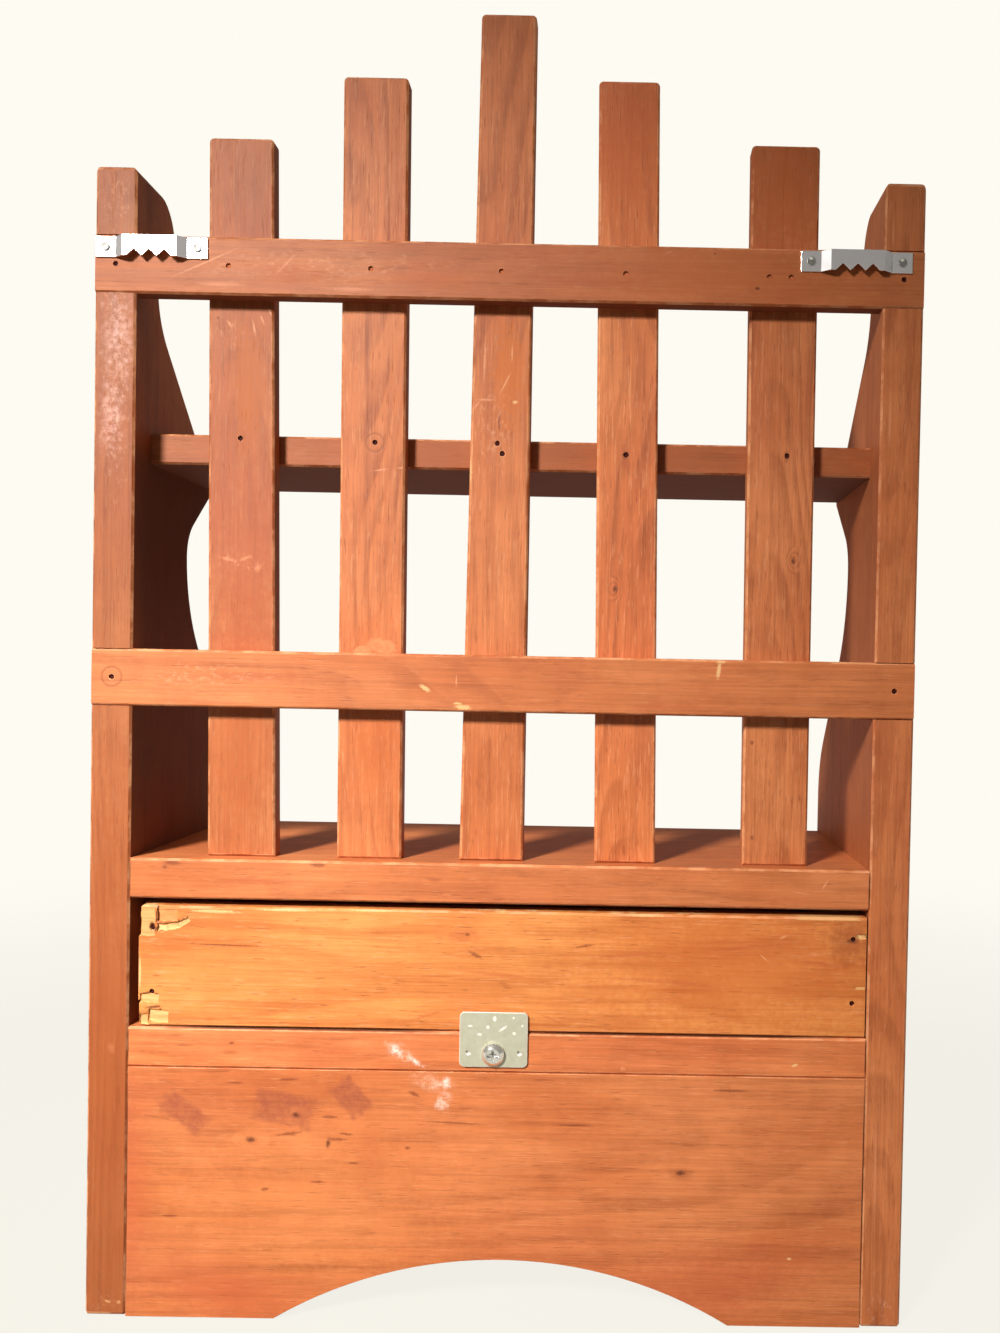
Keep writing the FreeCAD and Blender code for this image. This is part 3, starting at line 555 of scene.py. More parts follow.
class Finish(Mixture):
    """The finish of a piece: a material mixed from patterns over the place on the piece."""

    def __init__(self, name):
        self.material = bpy.data.materials.new(name)
        self.material.use_nodes = True
        super().__init__(self.material.node_tree)

    def vector(self, operation, *values):
        """One step of vector arithmetic."""
        made = self.node("VectorMath", enumerate(values), operation=operation)
        return made.outputs["Value" if operation == "LENGTH" else "Vector"]

    def ease(self, value, low, high, start=0.0, end=1.0):
        """A smooth step from start at low to end at high."""
        inputs = {0: value, 1: low, 2: high, 3: start, 4: end}
        return self.node("MapRange", inputs, interpolation_type="SMOOTHSTEP").outputs[0]

    def blend(self, amount, first, second):
        """A mix of two colours."""
        return self.node("Mix", {0: amount, 6: solid(first), 7: solid(second)}, data_type="RGBA").outputs[2]

    def pattern(self, place, name):
        """One of the noise patterns; the place has the grain's direction as its third number."""
        across, along, detail, roughness = PATTERNS[name]
        stretched = self.vector("MULTIPLY", place, (across, across, along))
        inputs = {"Vector": stretched, "Scale": 1.0, "Detail": detail, "Roughness": roughness}
        return self.node("TexNoise", inputs).outputs[0]

    def attribute(self, name):
        """A number that the mesh holds for each face."""
        return self.node("Attribute", attribute_name=name).outputs["Fac"]

    def place(self):
        """The place on the piece."""
        return self.node("TexCoord").outputs["Object"]

    def parts(self, vector):
        """The three numbers of a vector."""
        return self.node("SeparateXYZ", {0: vector}).outputs

    def turned(self, place, run):
        """The place with the grain's direction as its third number."""
        parts = self.parts(place)
        return self.node("CombineXYZ", enumerate([parts[axis] for axis in GRAIN[run]])).outputs[0]

    def bump(self, height, strength, distance):
        """A normal from a height."""
        return self.node("Bump", {"Strength": strength, "Distance": distance, "Height": height}).outputs[0]

    def close(self, colour, roughness, normal, **constants):
        """Ends in one surface shader; constants are set on its own sockets."""
        inputs = {"Base Color": solid(colour), "Roughness": roughness, "Normal": normal}
        inputs.update({key.replace("_", " "): value for key, value in constants.items()})
        shader = self.node("BsdfPrincipled", inputs)
        self.node("OutputMaterial", {"Surface": shader.outputs[0]})
        return self.material


def solid(colour):
    """A colour with its alpha, or an output left as it is."""
    if isinstance(colour, bpy.types.NodeSocket):
        return colour
    return (*tuple(colour)[:3], 1.0)


def marks_on(name):
    """The marks of a piece."""
    return [Mark(kind, *row) for kind, rows in MARKS.get(name, {}).items() for row in rows]


def mark_distance(finish, place, plane, mark):
    """How far a place is from a mark's centre, where 1 is the mark's rim."""
    depth = KNOT_DEPTH if mark.kind == "knot" else MARK_DEPTH
    local = finish.node(
        "Mapping",
        {
            "Vector": place,
            "Location": (mark.x * MM, plane, mark.z * MM),
            "Rotation": (0.0, -math.radians(mark.turn), 0.0),
            "Scale": (mark.wide * MM / 2, depth * MM, mark.tall * MM / 2),
        },
        vector_type="TEXTURE",
    ).outputs[0]
    if MARK_KINDS[mark.kind].shape not in STRAIGHT:
        return finish.vector("LENGTH", local)
    parts = finish.parts(finish.vector("ABSOLUTE", local))
    return finish.math("MAXIMUM", finish.math("MAXIMUM", parts[0], parts[1]), parts[2])


def mark_masks(finish, place, drift, marks, distances):
    """One mask for each kind of mark on a board."""
    coarse = finish.math("SUBTRACT", finish.pattern(place, "coarse_grit"), 0.5)
    fine = finish.math("SUBTRACT", finish.pattern(place, "fine_grit"), 0.5)
    crumbs = finish.ease(finish.pattern(drift, "crumbs"), 0.5, 0.66)
    cloud = finish.ease(finish.pattern(place, "cloud"), 0.3, 0.7)
    uneven = finish.math("ADD", finish.math("MULTIPLY", cloud, 0.5), 0.5)
    grain = {"scattered": crumbs, "cloud": cloud, "patch": uneven}
    masks = {}
    for mark, distance in zip(marks, distances):
        look = MARK_KINDS[mark.kind]
        if look.shape == "ring":
            distance = finish.math("ABSOLUTE", finish.math("SUBTRACT", distance, 1.0))
            mask = finish.ease(distance, 0.2, 0.03)
        else:
            grit = fine if min(mark.wide, mark.tall) < FINE_MARK else coarse
            distance = finish.math("ADD", distance, finish.math("MULTIPLY", grit, RAGGED[look.shape]))
            mask = finish.ease(distance, 1.0, 1.0 - look.softness)
        if look.shape in grain:
            mask = finish.math("MULTIPLY", mask, grain[look.shape])
        earlier = masks.get(mark.kind)
        masks[mark.kind] = finish.math("MAXIMUM", earlier, mask) if earlier else mask
    return masks


def ring_radius(finish, stick, drift, sawn, middle):
    """How far a place lies from the heart of the tree, in a trunk that wanders and leans."""
    across = [getattr(middle, axis.lower()) for axis in GRAIN[sawn.run][:2]]
    offsets = (sawn.deep, sawn.lean) if sawn.run == "X" else (sawn.lean, sawn.deep)
    heart = (across[0] + offsets[0] * MM, across[1] + offsets[1] * MM, 0.0)
    from_heart = finish.vector("MULTIPLY", finish.vector("SUBTRACT", stick, heart), (1.0, 1.0, 0.0))
    radius = finish.vector("LENGTH", from_heart)
    warp = finish.pattern(drift, "warp")
    radius = finish.math("ADD", radius, finish.math("MULTIPLY", warp, TRUNK_WARP))
    lean = TRUNK_LEAN * math.sin(sawn.seed * LEAN_TURN)
    return finish.math("ADD", radius, finish.math("MULTIPLY", finish.parts(stick)[2], lean))


def bent_round_knots(finish, radius, marks, distances):
    """The radius of the rings, with those beside a knot pushed away from it."""
    for mark, distance in zip(marks, distances):
        if mark.kind == "knot":
            radius = finish.math("ADD", radius, finish.ease(distance, 3.0, 0.4, 0.0, KNOT_PUSH))
    return radius


def late_wood(finish, radius, drift, gap):
    """The dark late wood that ends each ring, uneven along the board."""
    phase = finish.math("FRACT", finish.math("DIVIDE", radius, gap * MM))
    late = finish.math("MULTIPLY", finish.ease(phase, 0.25, 0.82), finish.ease(phase, 1.0, 0.86))
    uneven = finish.ease(finish.pattern(drift, "patchy"), 0.35, 0.65, 0.3, 1.0)
    return finish.math("MULTIPLY", late, uneven)


def figure_shade(finish, place, drift, late, fibre, figure):
    """How dark the late wood, fibres, streaks, bands and mottling make a place."""
    streak = finish.pattern(drift, "streak")
    band = finish.pattern(drift, "band")
    mottle = finish.pattern(place, "mottle")
    shade = finish.math("MULTIPLY", late, 0.36 * figure)
    shade = finish.math("ADD", shade, finish.ease(fibre, 0.62, 0.34, 0.0, 0.2))
    shade = finish.math("ADD", shade, finish.ease(streak, 0.6, 0.32, 0.0, 0.15 * figure))
    shade = finish.math("ADD", shade, finish.ease(band, 0.5, 0.3, 0.0, 0.26 * figure))
    return finish.math("ADD", shade, finish.ease(mottle, 0.6, 0.36, 0.0, 0.12), clamp=True)


def rubbed_arrises(finish, place, masks):
    """Where the arrises are rubbed through, apart from those in a dark joint."""
    arris = finish.attribute("arris")
    rubbed = finish.ease(finish.pattern(place, "rubbed"), 0.38, 0.64)
    rubbed = finish.math("MULTIPLY", finish.math("MULTIPLY", arris, rubbed), 0.6)
    if "seam" in masks:
        rubbed = finish.math("MULTIPLY", rubbed, finish.math("SUBTRACT", 1.0, masks["seam"]))
    return rubbed


def pine_finish(name, tones, wood, chipped=False):
    """Stained pine for one board, with its rings, fibres, flecks, worn arrises and its own marks."""
    sawn = SAWN[name]
    figure, gain = sawn.figure, sawn.gain
    stain, pale, dark = [Vector(tone) * gain for tone in tones]
    low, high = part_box(name)
    middle = (low + high) / 2
    finish = Finish(name + "_pine")
    place = finish.place()
    stick = finish.turned(place, sawn.run)
    drift = finish.vector("ADD", stick, Vector(SEED_STEP) * sawn.seed)

    radius = ring_radius(finish, stick, drift, sawn, middle)
    marks = marks_on(name)
    distances = [mark_distance(finish, place, high.y, mark) for mark in marks]
    radius = bent_round_knots(finish, radius, marks, distances)
    late = late_wood(finish, radius, drift, sawn.gap)
    fibre = finish.pattern(drift, "fibre")
    fleck = finish.ease(finish.pattern(drift, "fleck"), 0.62, 0.72)
    blotch = finish.ease(finish.pattern(drift, "blotch"), 0.32, 0.68)
    flush = finish.ease(finish.pattern(drift, "flush"), 0.46, 0.72, 0.0, 0.4)
    shade = figure_shade(finish, place, drift, late, fibre, figure)
    tone = finish.blend(blotch, stain, pale)
    tone = finish.blend(flush, tone, Vector(wood.ruddy) * gain)
    tone = finish.blend(shade, tone, dark)
    tone = finish.blend(finish.math("MULTIPLY", fleck, 0.42 * figure), tone, tint_of("fleck"))
    glint = finish.ease(finish.pattern(drift, "glint"), 0.56, 0.7)
    tone = finish.blend(finish.math("MULTIPLY", glint, 0.28 * figure), tone, Vector(wood.worn) * gain)

    masks = mark_masks(finish, place, drift, marks, distances)
    if chipped:
        masks["bare"] = finish.math("MAXIMUM", masks["bare"], frayed_edge(finish, place, drift, high.z))
    relief = finish.math("ADD", finish.math("MULTIPLY", fibre, 0.5), finish.math("MULTIPLY", late, 0.25))
    relief = finish.math("SUBTRACT", relief, finish.math("MULTIPLY", fleck, 0.4))
    for kind, mask in masks.items():
        look = MARK_KINDS[kind]
        colour = Vector(linear(*look.colour)) * (gain if kind in SOAKED else 1.0)
        tone = finish.blend(finish.math("MULTIPLY", mask, look.strength), tone, colour)
        relief = finish.math("ADD", relief, finish.math("MULTIPLY", mask, look.relief))
    if chipped:
        torn = finish.ease(fibre, 0.3, 0.6, 0.5, 0.9)
        tone = finish.blend(finish.math("MULTIPLY", finish.attribute("fresh"), torn), tone, wood.fresh)

    tone = finish.blend(rubbed_arrises(finish, place, masks), tone, wood.worn)
    facing = finish.node("NewGeometry").outputs["True Normal"]
    end = finish.math("ABSOLUTE", finish.parts(finish.turned(facing, sawn.run))[2])
    tone = finish.blend(finish.ease(end, 0.8, 0.95, 0.0, 0.45), tone, tint_of("end_grain"))
    # Painted shade: the sides' inside faces and the undersides are darkened, and also made rougher.
    painted_shade = painted_shade_share(finish, place, facing, name, middle)
    tone = finish.blend(finish.math("MULTIPLY", painted_shade, 0.8), tone, dark * 0.6)

    roughness = finish.math("ADD", finish.math("MULTIPLY", fibre, 0.16), 0.48)
    roughness = finish.math("ADD", roughness, finish.math("MULTIPLY", painted_shade, 0.3))
    normal = finish.bump(relief, 0.35, 0.3 * MM)
    return finish.close(tone, roughness, normal, Specular_IOR_Level=0.34)


def painted_shade_share(finish, place, facing, name, middle):
    """Share of painted shade on the sides' inside faces and on undersides, where the wood is also made
    rougher.
    """
    parts = finish.parts(facing)
    if name in SIDES:
        inward = finish.math("MULTIPLY", parts[0], -math.copysign(1.0, middle.x))
        height = finish.parts(place)[2]
        share = finish.ease(height, *UNDER_SHELF, LOW_PAINTED_SHADE * SIDES[name], SIDES[name])
        share = finish.math("MULTIPLY", share, finish.ease(height, *OVER_SHELF, 1.0, 0.0))
    else:
        inward = finish.math("MULTIPLY", parts[2], -1.0)
        share = 1.0
    return finish.math("MULTIPLY", finish.ease(inward, 0.6, 0.9), share)


def frayed_edge(finish, place, drift, top):
    """Bare wood in uneven streaks along the upper edge of a board."""
    stretch = finish.pattern(drift, "fray")
    width = finish.ease(stretch, 0.48, 0.78, 0.0, 2.2 * MM)
    rim = finish.math("SUBTRACT", top, width)
    return finish.ease(finish.math("SUBTRACT", finish.parts(place)[2], rim), 0.0, 0.5 * MM)


def panel_finish(wood):
    """Thin panel wood with a fine straight grain."""
    finish = Finish("panel_wood")
    place = finish.place()
    stick = finish.turned(place, "X")
    fibre = finish.pattern(stick, "panel_fibre")
    broad = finish.pattern(stick, "panel_broad")
    tone = finish.blend(finish.ease(broad, 0.3, 0.7), wood.panel, tint_of("panel_pale"))
    tone = finish.blend(finish.ease(fibre, 0.6, 0.35, 0.0, 0.4), tone, tint_of("panel_deep"))
    roughness = finish.math("ADD", finish.math("MULTIPLY", fibre, 0.15), 0.5)
    return finish.close(tone, roughness, finish.bump(fibre, 0.25, 0.25 * MM), Specular_IOR_Level=0.1)


def knob_finish(wood, centre):
    """Turned wood: grain along the axis, fine lathe lines and a rubbed crown."""
    finish = Finish("knob_wood")
    place = finish.vector("SUBTRACT", finish.place(), centre)
    stick = finish.turned(place, "Y")
    fibre = finish.pattern(stick, "knob_fibre")
    from_heart = finish.vector("MULTIPLY", finish.vector("SUBTRACT", stick, KNOB_HEART), (1.0, 1.0, 0.0))
    radius = finish.vector("LENGTH", from_heart)
    rings = finish.math("FRACT", finish.math("MULTIPLY", radius, KNOB_RINGS))
    late = finish.math("MULTIPLY", finish.ease(rings, 0.2, 0.85), finish.ease(rings, 1.0, 0.9))
    lathe = finish.pattern(stick, "lathe")
    tone = finish.blend(finish.math("MULTIPLY", late, 0.35), wood.knob, wood.stain_deep)
    tone = finish.blend(finish.ease(fibre, 0.6, 0.36, 0.0, 0.35), tone, tint_of("knob_deep"))
    rubbed = finish.ease(finish.pattern(place, "knob_rubbed"), 0.5, 0.75, 0.0, 0.45)
    tone = finish.blend(rubbed, tone, wood.worn)
    height = finish.math("ADD", finish.math("MULTIPLY", lathe, 0.4), fibre)
    roughness = finish.math("ADD", finish.math("MULTIPLY", fibre, 0.15), 0.3)
    normal = finish.bump(height, 0.2, 0.2 * MM)
    return finish.close(tone, roughness, normal, Coat_Weight=0.15, Coat_Roughness=0.25)


def zinc_finish(name, colour, tarnish, streak_axis, roughness, metallic, marked=None, wear=1.0):
    """Zinc-plated steel with a rolled grain, dull blotches, specks, bright edges and a piece's marks."""
    finish = Finish(name)
    place = finish.place()
    stick = finish.turned(place, streak_axis)
    rolled = finish.pattern(stick, "rolled")
    cloud = finish.ease(finish.pattern(place, "tarnish"), 0.36, 0.68)
    speck = finish.ease(finish.pattern(place, "speck"), 0.66, 0.74)
    tone = finish.blend(finish.math("MULTIPLY", cloud, 0.5 * wear), colour, tarnish)
    tone = finish.blend(finish.math("MULTIPLY", speck, 0.35 * wear), tone, tint_of("speck"))
    tone = finish.blend(finish.math("MULTIPLY", finish.attribute("arris"), 0.6), tone, tint_of("bright_edge"))
    if marked:
        marks = marks_on(marked)
        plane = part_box(marked)[1].y
        distances = [mark_distance(finish, place, plane, mark) for mark in marks]
        for kind, mask in mark_masks(finish, place, stick, marks, distances).items():
            look = MARK_KINDS[kind]
            tone = finish.blend(finish.math("MULTIPLY", mask, look.strength), tone, linear(*look.colour))
    dull = finish.math("ADD", finish.math("MULTIPLY", rolled, 0.16), finish.math("MULTIPLY", cloud, 0.12))
    rough = finish.math("ADD", finish.math("MULTIPLY", dull, wear), roughness)
    normal = finish.bump(finish.math("ADD", rolled, cloud), 0.15 * wear, 0.1 * MM)
    return finish.close(tone, rough, normal, Metallic=metallic)


def nail_finish(name, colour, rust):
    """Dull nail heads with a little rust or old filler."""
    finish = Finish(name)
    place = finish.place()
    rusty = finish.ease(finish.pattern(place, "rusty"), 0.4, 0.65)
    tone = finish.blend(finish.math("MULTIPLY", rusty, 0.6), colour, rust)
    roughness = finish.math("ADD", finish.math("MULTIPLY", rusty, 0.2), 0.6)
    normal = finish.bump(rusty, 0.3, 0.1 * MM)
    return finish.close(tone, roughness, normal, Specular_IOR_Level=0.1)


def floor_finish(backdrop):
    """A pale floor that keeps the shadow and fades into the backdrop."""
    finish = Finish("pale_floor")
    place = finish.place()
    grain = finish.pattern(place, "floor")
    tone = finish.blend(finish.math("MULTIPLY", grain, 0.2), tint_of("floor"), tint_of("floor_deep"))
    matt = finish.node("BsdfDiffuse", {"Color": tone, "Roughness": 0.5})
    glow = finish.node("Emission", {"Color": solid(backdrop), "Strength": 1.0})
    away = finish.ease(finish.vector("LENGTH", place), 0.3, 1.0, 0.88, 1.0)
    rays = finish.node("LightPath").outputs
    seen = finish.math("ADD", rays["Is Camera Ray"], rays["Is Glossy Ray"], clamp=True)
    seen = finish.math("ADD", seen, rays["Is Transmission Ray"], clamp=True)
    mixed = finish.node(
        "MixShader", {0: finish.math("MULTIPLY", seen, away), 1: matt.outputs[0], 2: glow.outputs[0]}
    )
    finish.node("OutputMaterial", {"Surface": mixed.outputs[0]})
    return finish.material


def make_piece(name, mesh, material, body, nodes):
    """Puts a finished mesh in the scene as a piece that rides on a body and stands for its nodes."""
    piece = bpy.data.objects.new(name, mesh)
    bpy.context.scene.collection.objects.link(piece)
    mesh.materials.clear()
    mesh.materials.append(material)
    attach(piece, body)
    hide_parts(*nodes)
    return piece


def flatten_normals(piece):
    """Smooth shading that leaves the broad faces flat."""
    even = piece.modifiers.new("Even faces", "WEIGHTED_NORMAL")
    even.mode = "FACE_AREA"
    even.weight = 100
    even.keep_sharp = True


def is_arris(face):
    """Whether a face is a narrow one that slants between broad ones."""
    perimeter = sum(edge.calc_length() for edge in face.edges)
    slants = sum(abs(part) > SLANTED for part in face.normal) > 1
    return slants and 2 * face.calc_area() / perimeter < NARROW_FACE


def weld(work):
    """Joins points that lie together, and takes out what has no area."""
    bmesh.ops.remove_doubles(work, verts=work.verts, dist=WELD)
    bmesh.ops.dissolve_degenerate(work, dist=WELD, edges=work.edges)


def round_edges(work, edges, size, steps):
    """Rounds the edges of a mesh being shaped."""
    bmesh.ops.bevel(
        work, geom=edges, offset=size, offset_type="OFFSET", segments=steps, profile=0.5, affect="EDGES",
        clamp_overlap=True, material=-1,
    )


def round_crown(work, size):
    """Rounds the upper end of a side toward its two faces, by a few slanted cuts on each."""
    across = [vert.co.x for vert in work.verts]
    top = max(vert.co.z for vert in work.verts)
    for face_x, inward in ((min(across), 1.0), (max(across), -1.0)):
        centre = Vector((face_x + inward * size, 0.0, top - size))
        for step in range(CROWN_STEPS):
            angle = math.pi / 2 * (step + 0.5) / CROWN_STEPS
            outward = Vector((-inward * math.cos(angle), 0.0, math.sin(angle)))
            cut = bmesh.ops.bisect_plane(
                work, geom=[*work.verts, *work.edges, *work.faces], plane_co=centre + outward * size,
                plane_no=outward, clear_outer=True,
            )
            rim = [item for item in cut["geom_cut"] if isinstance(item, bmesh.types.BMEdge)]
            bmesh.ops.holes_fill(work, edges=rim)


def eased_mesh(node, rounding, crown=0.0):
    """A copy of a node with its facets joined and its arrises rounded and marked."""
    work = bmesh.new()
    work.from_mesh(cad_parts[node].data)
    bmesh.ops.remove_doubles(work, verts=work.verts, dist=WELD)
    bmesh.ops.dissolve_limit(
        work, angle_limit=FLAT_ANGLE, use_dissolve_boundaries=False, verts=work.verts, edges=work.edges
    )
    if crown:
        round_crown(work, crown)
    sharp = [
        edge for edge in work.edges
        if edge.is_manifold and edge.is_convex and edge.calc_face_angle() > SHARP_ANGLE
    ]
    if not sharp:
        raise RuntimeError(f"no arris was found on {node}")
    round_edges(work, sharp, rounding, ROUNDING_STEPS)
    weld(work)
    arris = work.faces.layers.float.new("arris")
    for face in work.faces:
        face.smooth = True
        face[arris] = 1.0 if is_arris(face) else 0.0
    mesh = bpy.data.meshes.new(node + "_eased")
    work.to_mesh(mesh)
    work.free()
    return mesh


def drop_doubles(work):
    """Makes a mesh all triangles, and takes out pairs that lie on each other."""
    bmesh.ops.triangulate(work, faces=work.faces)
    work.verts.index_update()
    alike = {}
    for face in work.faces:
        alike.setdefault(frozenset(vert.index for vert in face.verts), []).append(face)
    doubled = [face for faces in alike.values() if len(faces) > 1 for face in faces]
    bmesh.ops.delete(work, geom=doubled, context="FACES")


def chip_cutters(plane):
    """Slanted ragged blocks that stand where chips have broken out of a board's back face."""
    noise.seed_set(CHIP_SEED)
    work = bmesh.new()
    fresh = work.faces.layers.float.new("fresh")
    for x, z, wide, tall, deep, turn, bright in CHIPS:
        first = len(work.verts)
        corners = bmesh.ops.create_cube(work, size=1.0)["verts"]
        edges = list(dict.fromkeys(edge for corner in corners for edge in corner.link_edges))
        bmesh.ops.subdivide_edges(work, edges=edges, cuts=CHIP_CUTS, use_grid_fill=True)
        work.verts.ensure_lookup_table()
        block = work.verts[first:]
        bmesh.ops.scale(work, verts=block, vec=(wide * MM, 2 * deep * MM, tall * MM))
        slant = math.copysign(math.radians(CHIP_SLANT), -x)
        bmesh.ops.rotate(work, verts=block, matrix=Matrix.Rotation(slant, 3, "Z"))
        bmesh.ops.rotate(work, verts=block, matrix=Matrix.Rotation(-math.radians(turn), 3, "Y"))
        bmesh.ops.translate(work, verts=block, vec=(x * MM, plane, z * MM))
        for vert in block:
            vert.co += noise.noise_vector(vert.co / (CHIP_GRIT * MM)) * Vector(CHIP_RAG) * MM
        for face in {face for vert in block for face in vert.link_faces}:
            face[fresh] = bright
            face.smooth = True
    bmesh.ops.triangulate(work, faces=work.faces)
    mesh = bpy.data.meshes.new("chips")
    work.to_mesh(mesh)
    work.free()
    return mesh


def chipped_mesh(mesh, node):
    """A board's mesh with its chips cut out; their faces are marked as fresh wood."""
    board = bpy.data.objects.new("whole_board", mesh)
    cutter = bpy.data.objects.new("chip_cutters", chip_cutters(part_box(node)[1].y))
    for piece in (board, cutter):
        bpy.context.scene.collection.objects.link(piece)
    cut = board.modifiers.new("Chips", "BOOLEAN")
    cut.operation = "DIFFERENCE"
    cut.solver = "EXACT"
    cut.use_self = True
    cut.object = cutter
    shaped = board.evaluated_get(bpy.context.evaluated_depsgraph_get())
    work = bmesh.new()
    work.from_mesh(shaped.to_mesh())
    weld(work)
    drop_doubles(work)
    result = bpy.data.meshes.new(node + "_chipped")
    work.to_mesh(result)
    work.free()
    for piece in (board, cutter):
        bpy.data.objects.remove(piece)
    result.set_sharp_from_angle(angle=SHARP_ANGLE)
    return result


def make_boards(names, tones, wood, body):
    """Boards of pine that stand for their nodes."""
    for name in names:
        chipped = name == "drawer_back"
        mesh = eased_mesh(name, wood.rounding, wood.crown if name in SIDES else 0.0)
        if chipped:
            mesh = chipped_mesh(mesh, name)
        material = pine_finish(name, tones, wood, chipped)
        piece = make_piece(name + "_board", mesh, material, body, [name])
        flatten_normals(piece)


def make_case_boards(context, names):
    """Stained boards of the case."""
    wood = context.scene.shelf_timber
    tones = (wood.stain, wood.stain_pale, wood.stain_deep)
    make_boards(names, tones, wood, "case")


class SHELF_OT_sides(Operator):
    """Make the two scrolled sides"""

    bl_idname = "wall_shelf.sides"
    bl_label = "Scrolled Sides"

    def execute(self, context):
        make_case_boards(context, SIDES)
        return {"FINISHED"}


class SHELF_OT_rails(Operator):
    """Make the two rails across the back"""

    bl_idname = "wall_shelf.rails"
    bl_label = "Rails"

    def execute(self, context):
        make_case_boards(context, ["top_rail", "middle_rail"])
        return {"FINISHED"}


class SHELF_OT_slats(Operator):
    """Make the five upright slats"""

    bl_idname = "wall_shelf.slats"
    bl_label = "Slats"

    def execute(self, context):
        make_case_boards(context, [name for name in SAWN if name.startswith("slat_")])
        return {"FINISHED"}


class SHELF_OT_boards(Operator):
    """Make the shelf and the boards over and under the drawer"""

    bl_idname = "wall_shelf.boards"
    bl_label = "Shelf and Drawer Boards"

    def execute(self, context):
        make_case_boards(context, ["shelf", "drawer_top_board", "drawer_floor_board"])
        return {"FINISHED"}


class SHELF_OT_apron(Operator):
    """Make the arched apron"""

    bl_idname = "wall_shelf.apron"
    bl_label = "Apron"

    def execute(self, context):
        make_case_boards(context, ["apron"])
        return {"FINISHED"}


class SHELF_OT_drawer(Operator):
    """Make the drawer's boards and its bottom panel"""

    bl_idname = "wall_shelf.drawer"
    bl_label = "Drawer"

    def execute(self, context):
        wood = context.scene.shelf_timber
        tones = (wood.drawer, wood.drawer_pale, wood.drawer_deep)
        names = ["drawer_front", "drawer_back", "drawer_left_side", "drawer_right_side"]
        make_boards(names, tones, wood, "drawer")
        panel = make_piece(
            "drawer_bottom_panel", eased_mesh("drawer_bottom", wood.rounding), panel_finish(wood), "drawer",
            ["drawer_bottom"],
        )
        flatten_normals(panel)
        return {"FINISHED"}


class SHELF_OT_knob(Operator):
    """Turn the drawer's knob"""

    bl_idname = "wall_shelf.knob"
    bl_label = "Turned Knob"

    def execute(self, context):
        low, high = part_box("drawer_knob")
        centre = (low + high) / 2
        radius = (high.x - low.x) / 2
        reach = high.y - low.y
        work = bmesh.new()
        points = [work.verts.new((share * radius, -out * reach, 0.0)) for share, out in KNOB_OUTLINE]
        edges = [work.edges.new(pair) for pair in zip(points, points[1:])]
        bmesh.ops.spin(
            work, geom=points + edges, cent=(0, 0, 0), axis=(0, 1, 0), angle=math.tau, steps=KNOB_STEPS,
            use_merge=True,
        )
        bmesh.ops.remove_doubles(work, verts=work.verts, dist=WELD)
        bmesh.ops.recalc_face_normals(work, faces=work.faces)
        bmesh.ops.translate(work, verts=work.verts, vec=(centre.x, high.y, centre.z))
        for face in work.faces:
            face.smooth = True
        mesh = bpy.data.meshes.new("turned_knob")
        work.to_mesh(mesh)
        work.free()
        material = knob_finish(context.scene.shelf_timber, centre)
        knob = make_piece("turned_knob", mesh, material, "drawer", ["drawer_knob"])
        rounder = knob.modifiers.new("Rounder", "SUBSURF")
        rounder.levels = KNOB_LEVELS
        rounder.render_levels = KNOB_LEVELS
        return {"FINISHED"}


class SHELF_OT_hangers(Operator):
    """Make the two sawtooth hangers"""

    bl_idname = "wall_shelf.hangers"
    bl_label = "Hangers"

    def execute(self, context):
        metal = context.scene.shelf_metal
        material = zinc_finish("hanger_zinc", metal.hanger, tint_of("dull_hanger"), "X", 0.12, 0.7, wear=0.3)
        for name in ("left_hanger", "right_hanger"):
            mesh = eased_mesh(name, metal.rounding / 2)
            mesh.shade_flat()
            make_piece(name + "_strip", mesh, material, "case", [name])
        return {"FINISHED"}


class SHELF_OT_stop_plate(Operator):
    """Make the stop plate and the two screws"""

    bl_idname = "wall_shelf.stop_plate"
    bl_label = "Stop Plate and Screws"

    def execute(self, context):
        metal = context.scene.shelf_metal
        plate = zinc_finish("plate_zinc", metal.plate, tint_of("dull_plate"), "X", 0.38, 0.35, "stop_plate")
        screw = zinc_finish(
            "screw_zinc", metal.screw, tint_of("dull_screw"), "Z", 0.12, 0.9, "stop_plate_screw"
        )
        wanted = [
            ("stop_plate", plate, "case", "plate_zinc", metal.plate_rounding),
            ("stop_plate_screw", screw, "case", "screw_zinc", metal.rounding),
            ("knob_screw", screw, "drawer", "screw_zinc", metal.rounding),
        ]
        for name, material, body, slot, rounding in wanted:
            piece = make_piece(name + "_metal", eased_mesh(name, rounding), material, body, [name])
            flatten_normals(piece)
        return {"FINISHED"}


class SHELF_OT_nails(Operator):
    """Give the nails their steel"""

    bl_idname = "wall_shelf.nails"
    bl_label = "Nails"

    def execute(self, context):
        metal = context.scene.shelf_metal
        bare = nail_finish("nail_steel", metal.nail, tint_of("rust"))
        filled = nail_finish("filled_nail", metal.filled_nail, tint_of("old_filler"))
        plated = zinc_finish(
            "hanger_nail", metal.hanger_nail, tint_of("dull_nail"), "Z", 0.36, 0.6, "hanger_nails"
        )
        finishes = {"slat_nails": filled, "hanger_nails": plated}
        for name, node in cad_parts.items():
            if name.endswith("_nails"):
                for slot in node.material_slots:
                    slot.material = finishes.get(name, bare)
        return {"FINISHED"}


def softbox(name, place, target, size, watts, spread, glare):
    """A square lamp that points at a target; its spread is in degrees, and its glare shows in gloss."""
    data = bpy.data.lights.new(name, "AREA")
    data.shape = "SQUARE"
    data.size = size
    data.energy = watts
    data.color = LAMP_COLOUR
    data.spread = math.radians(spread)
    lamp = bpy.data.objects.new(name, data)
    lamp.location = place
    lamp.rotation_euler = (Vector(target) - Vector(place)).to_track_quat("-Z", "Y").to_euler()
    lamp.visible_camera = False
    lamp.visible_glossy = glare
    bpy.context.scene.collection.objects.link(lamp)


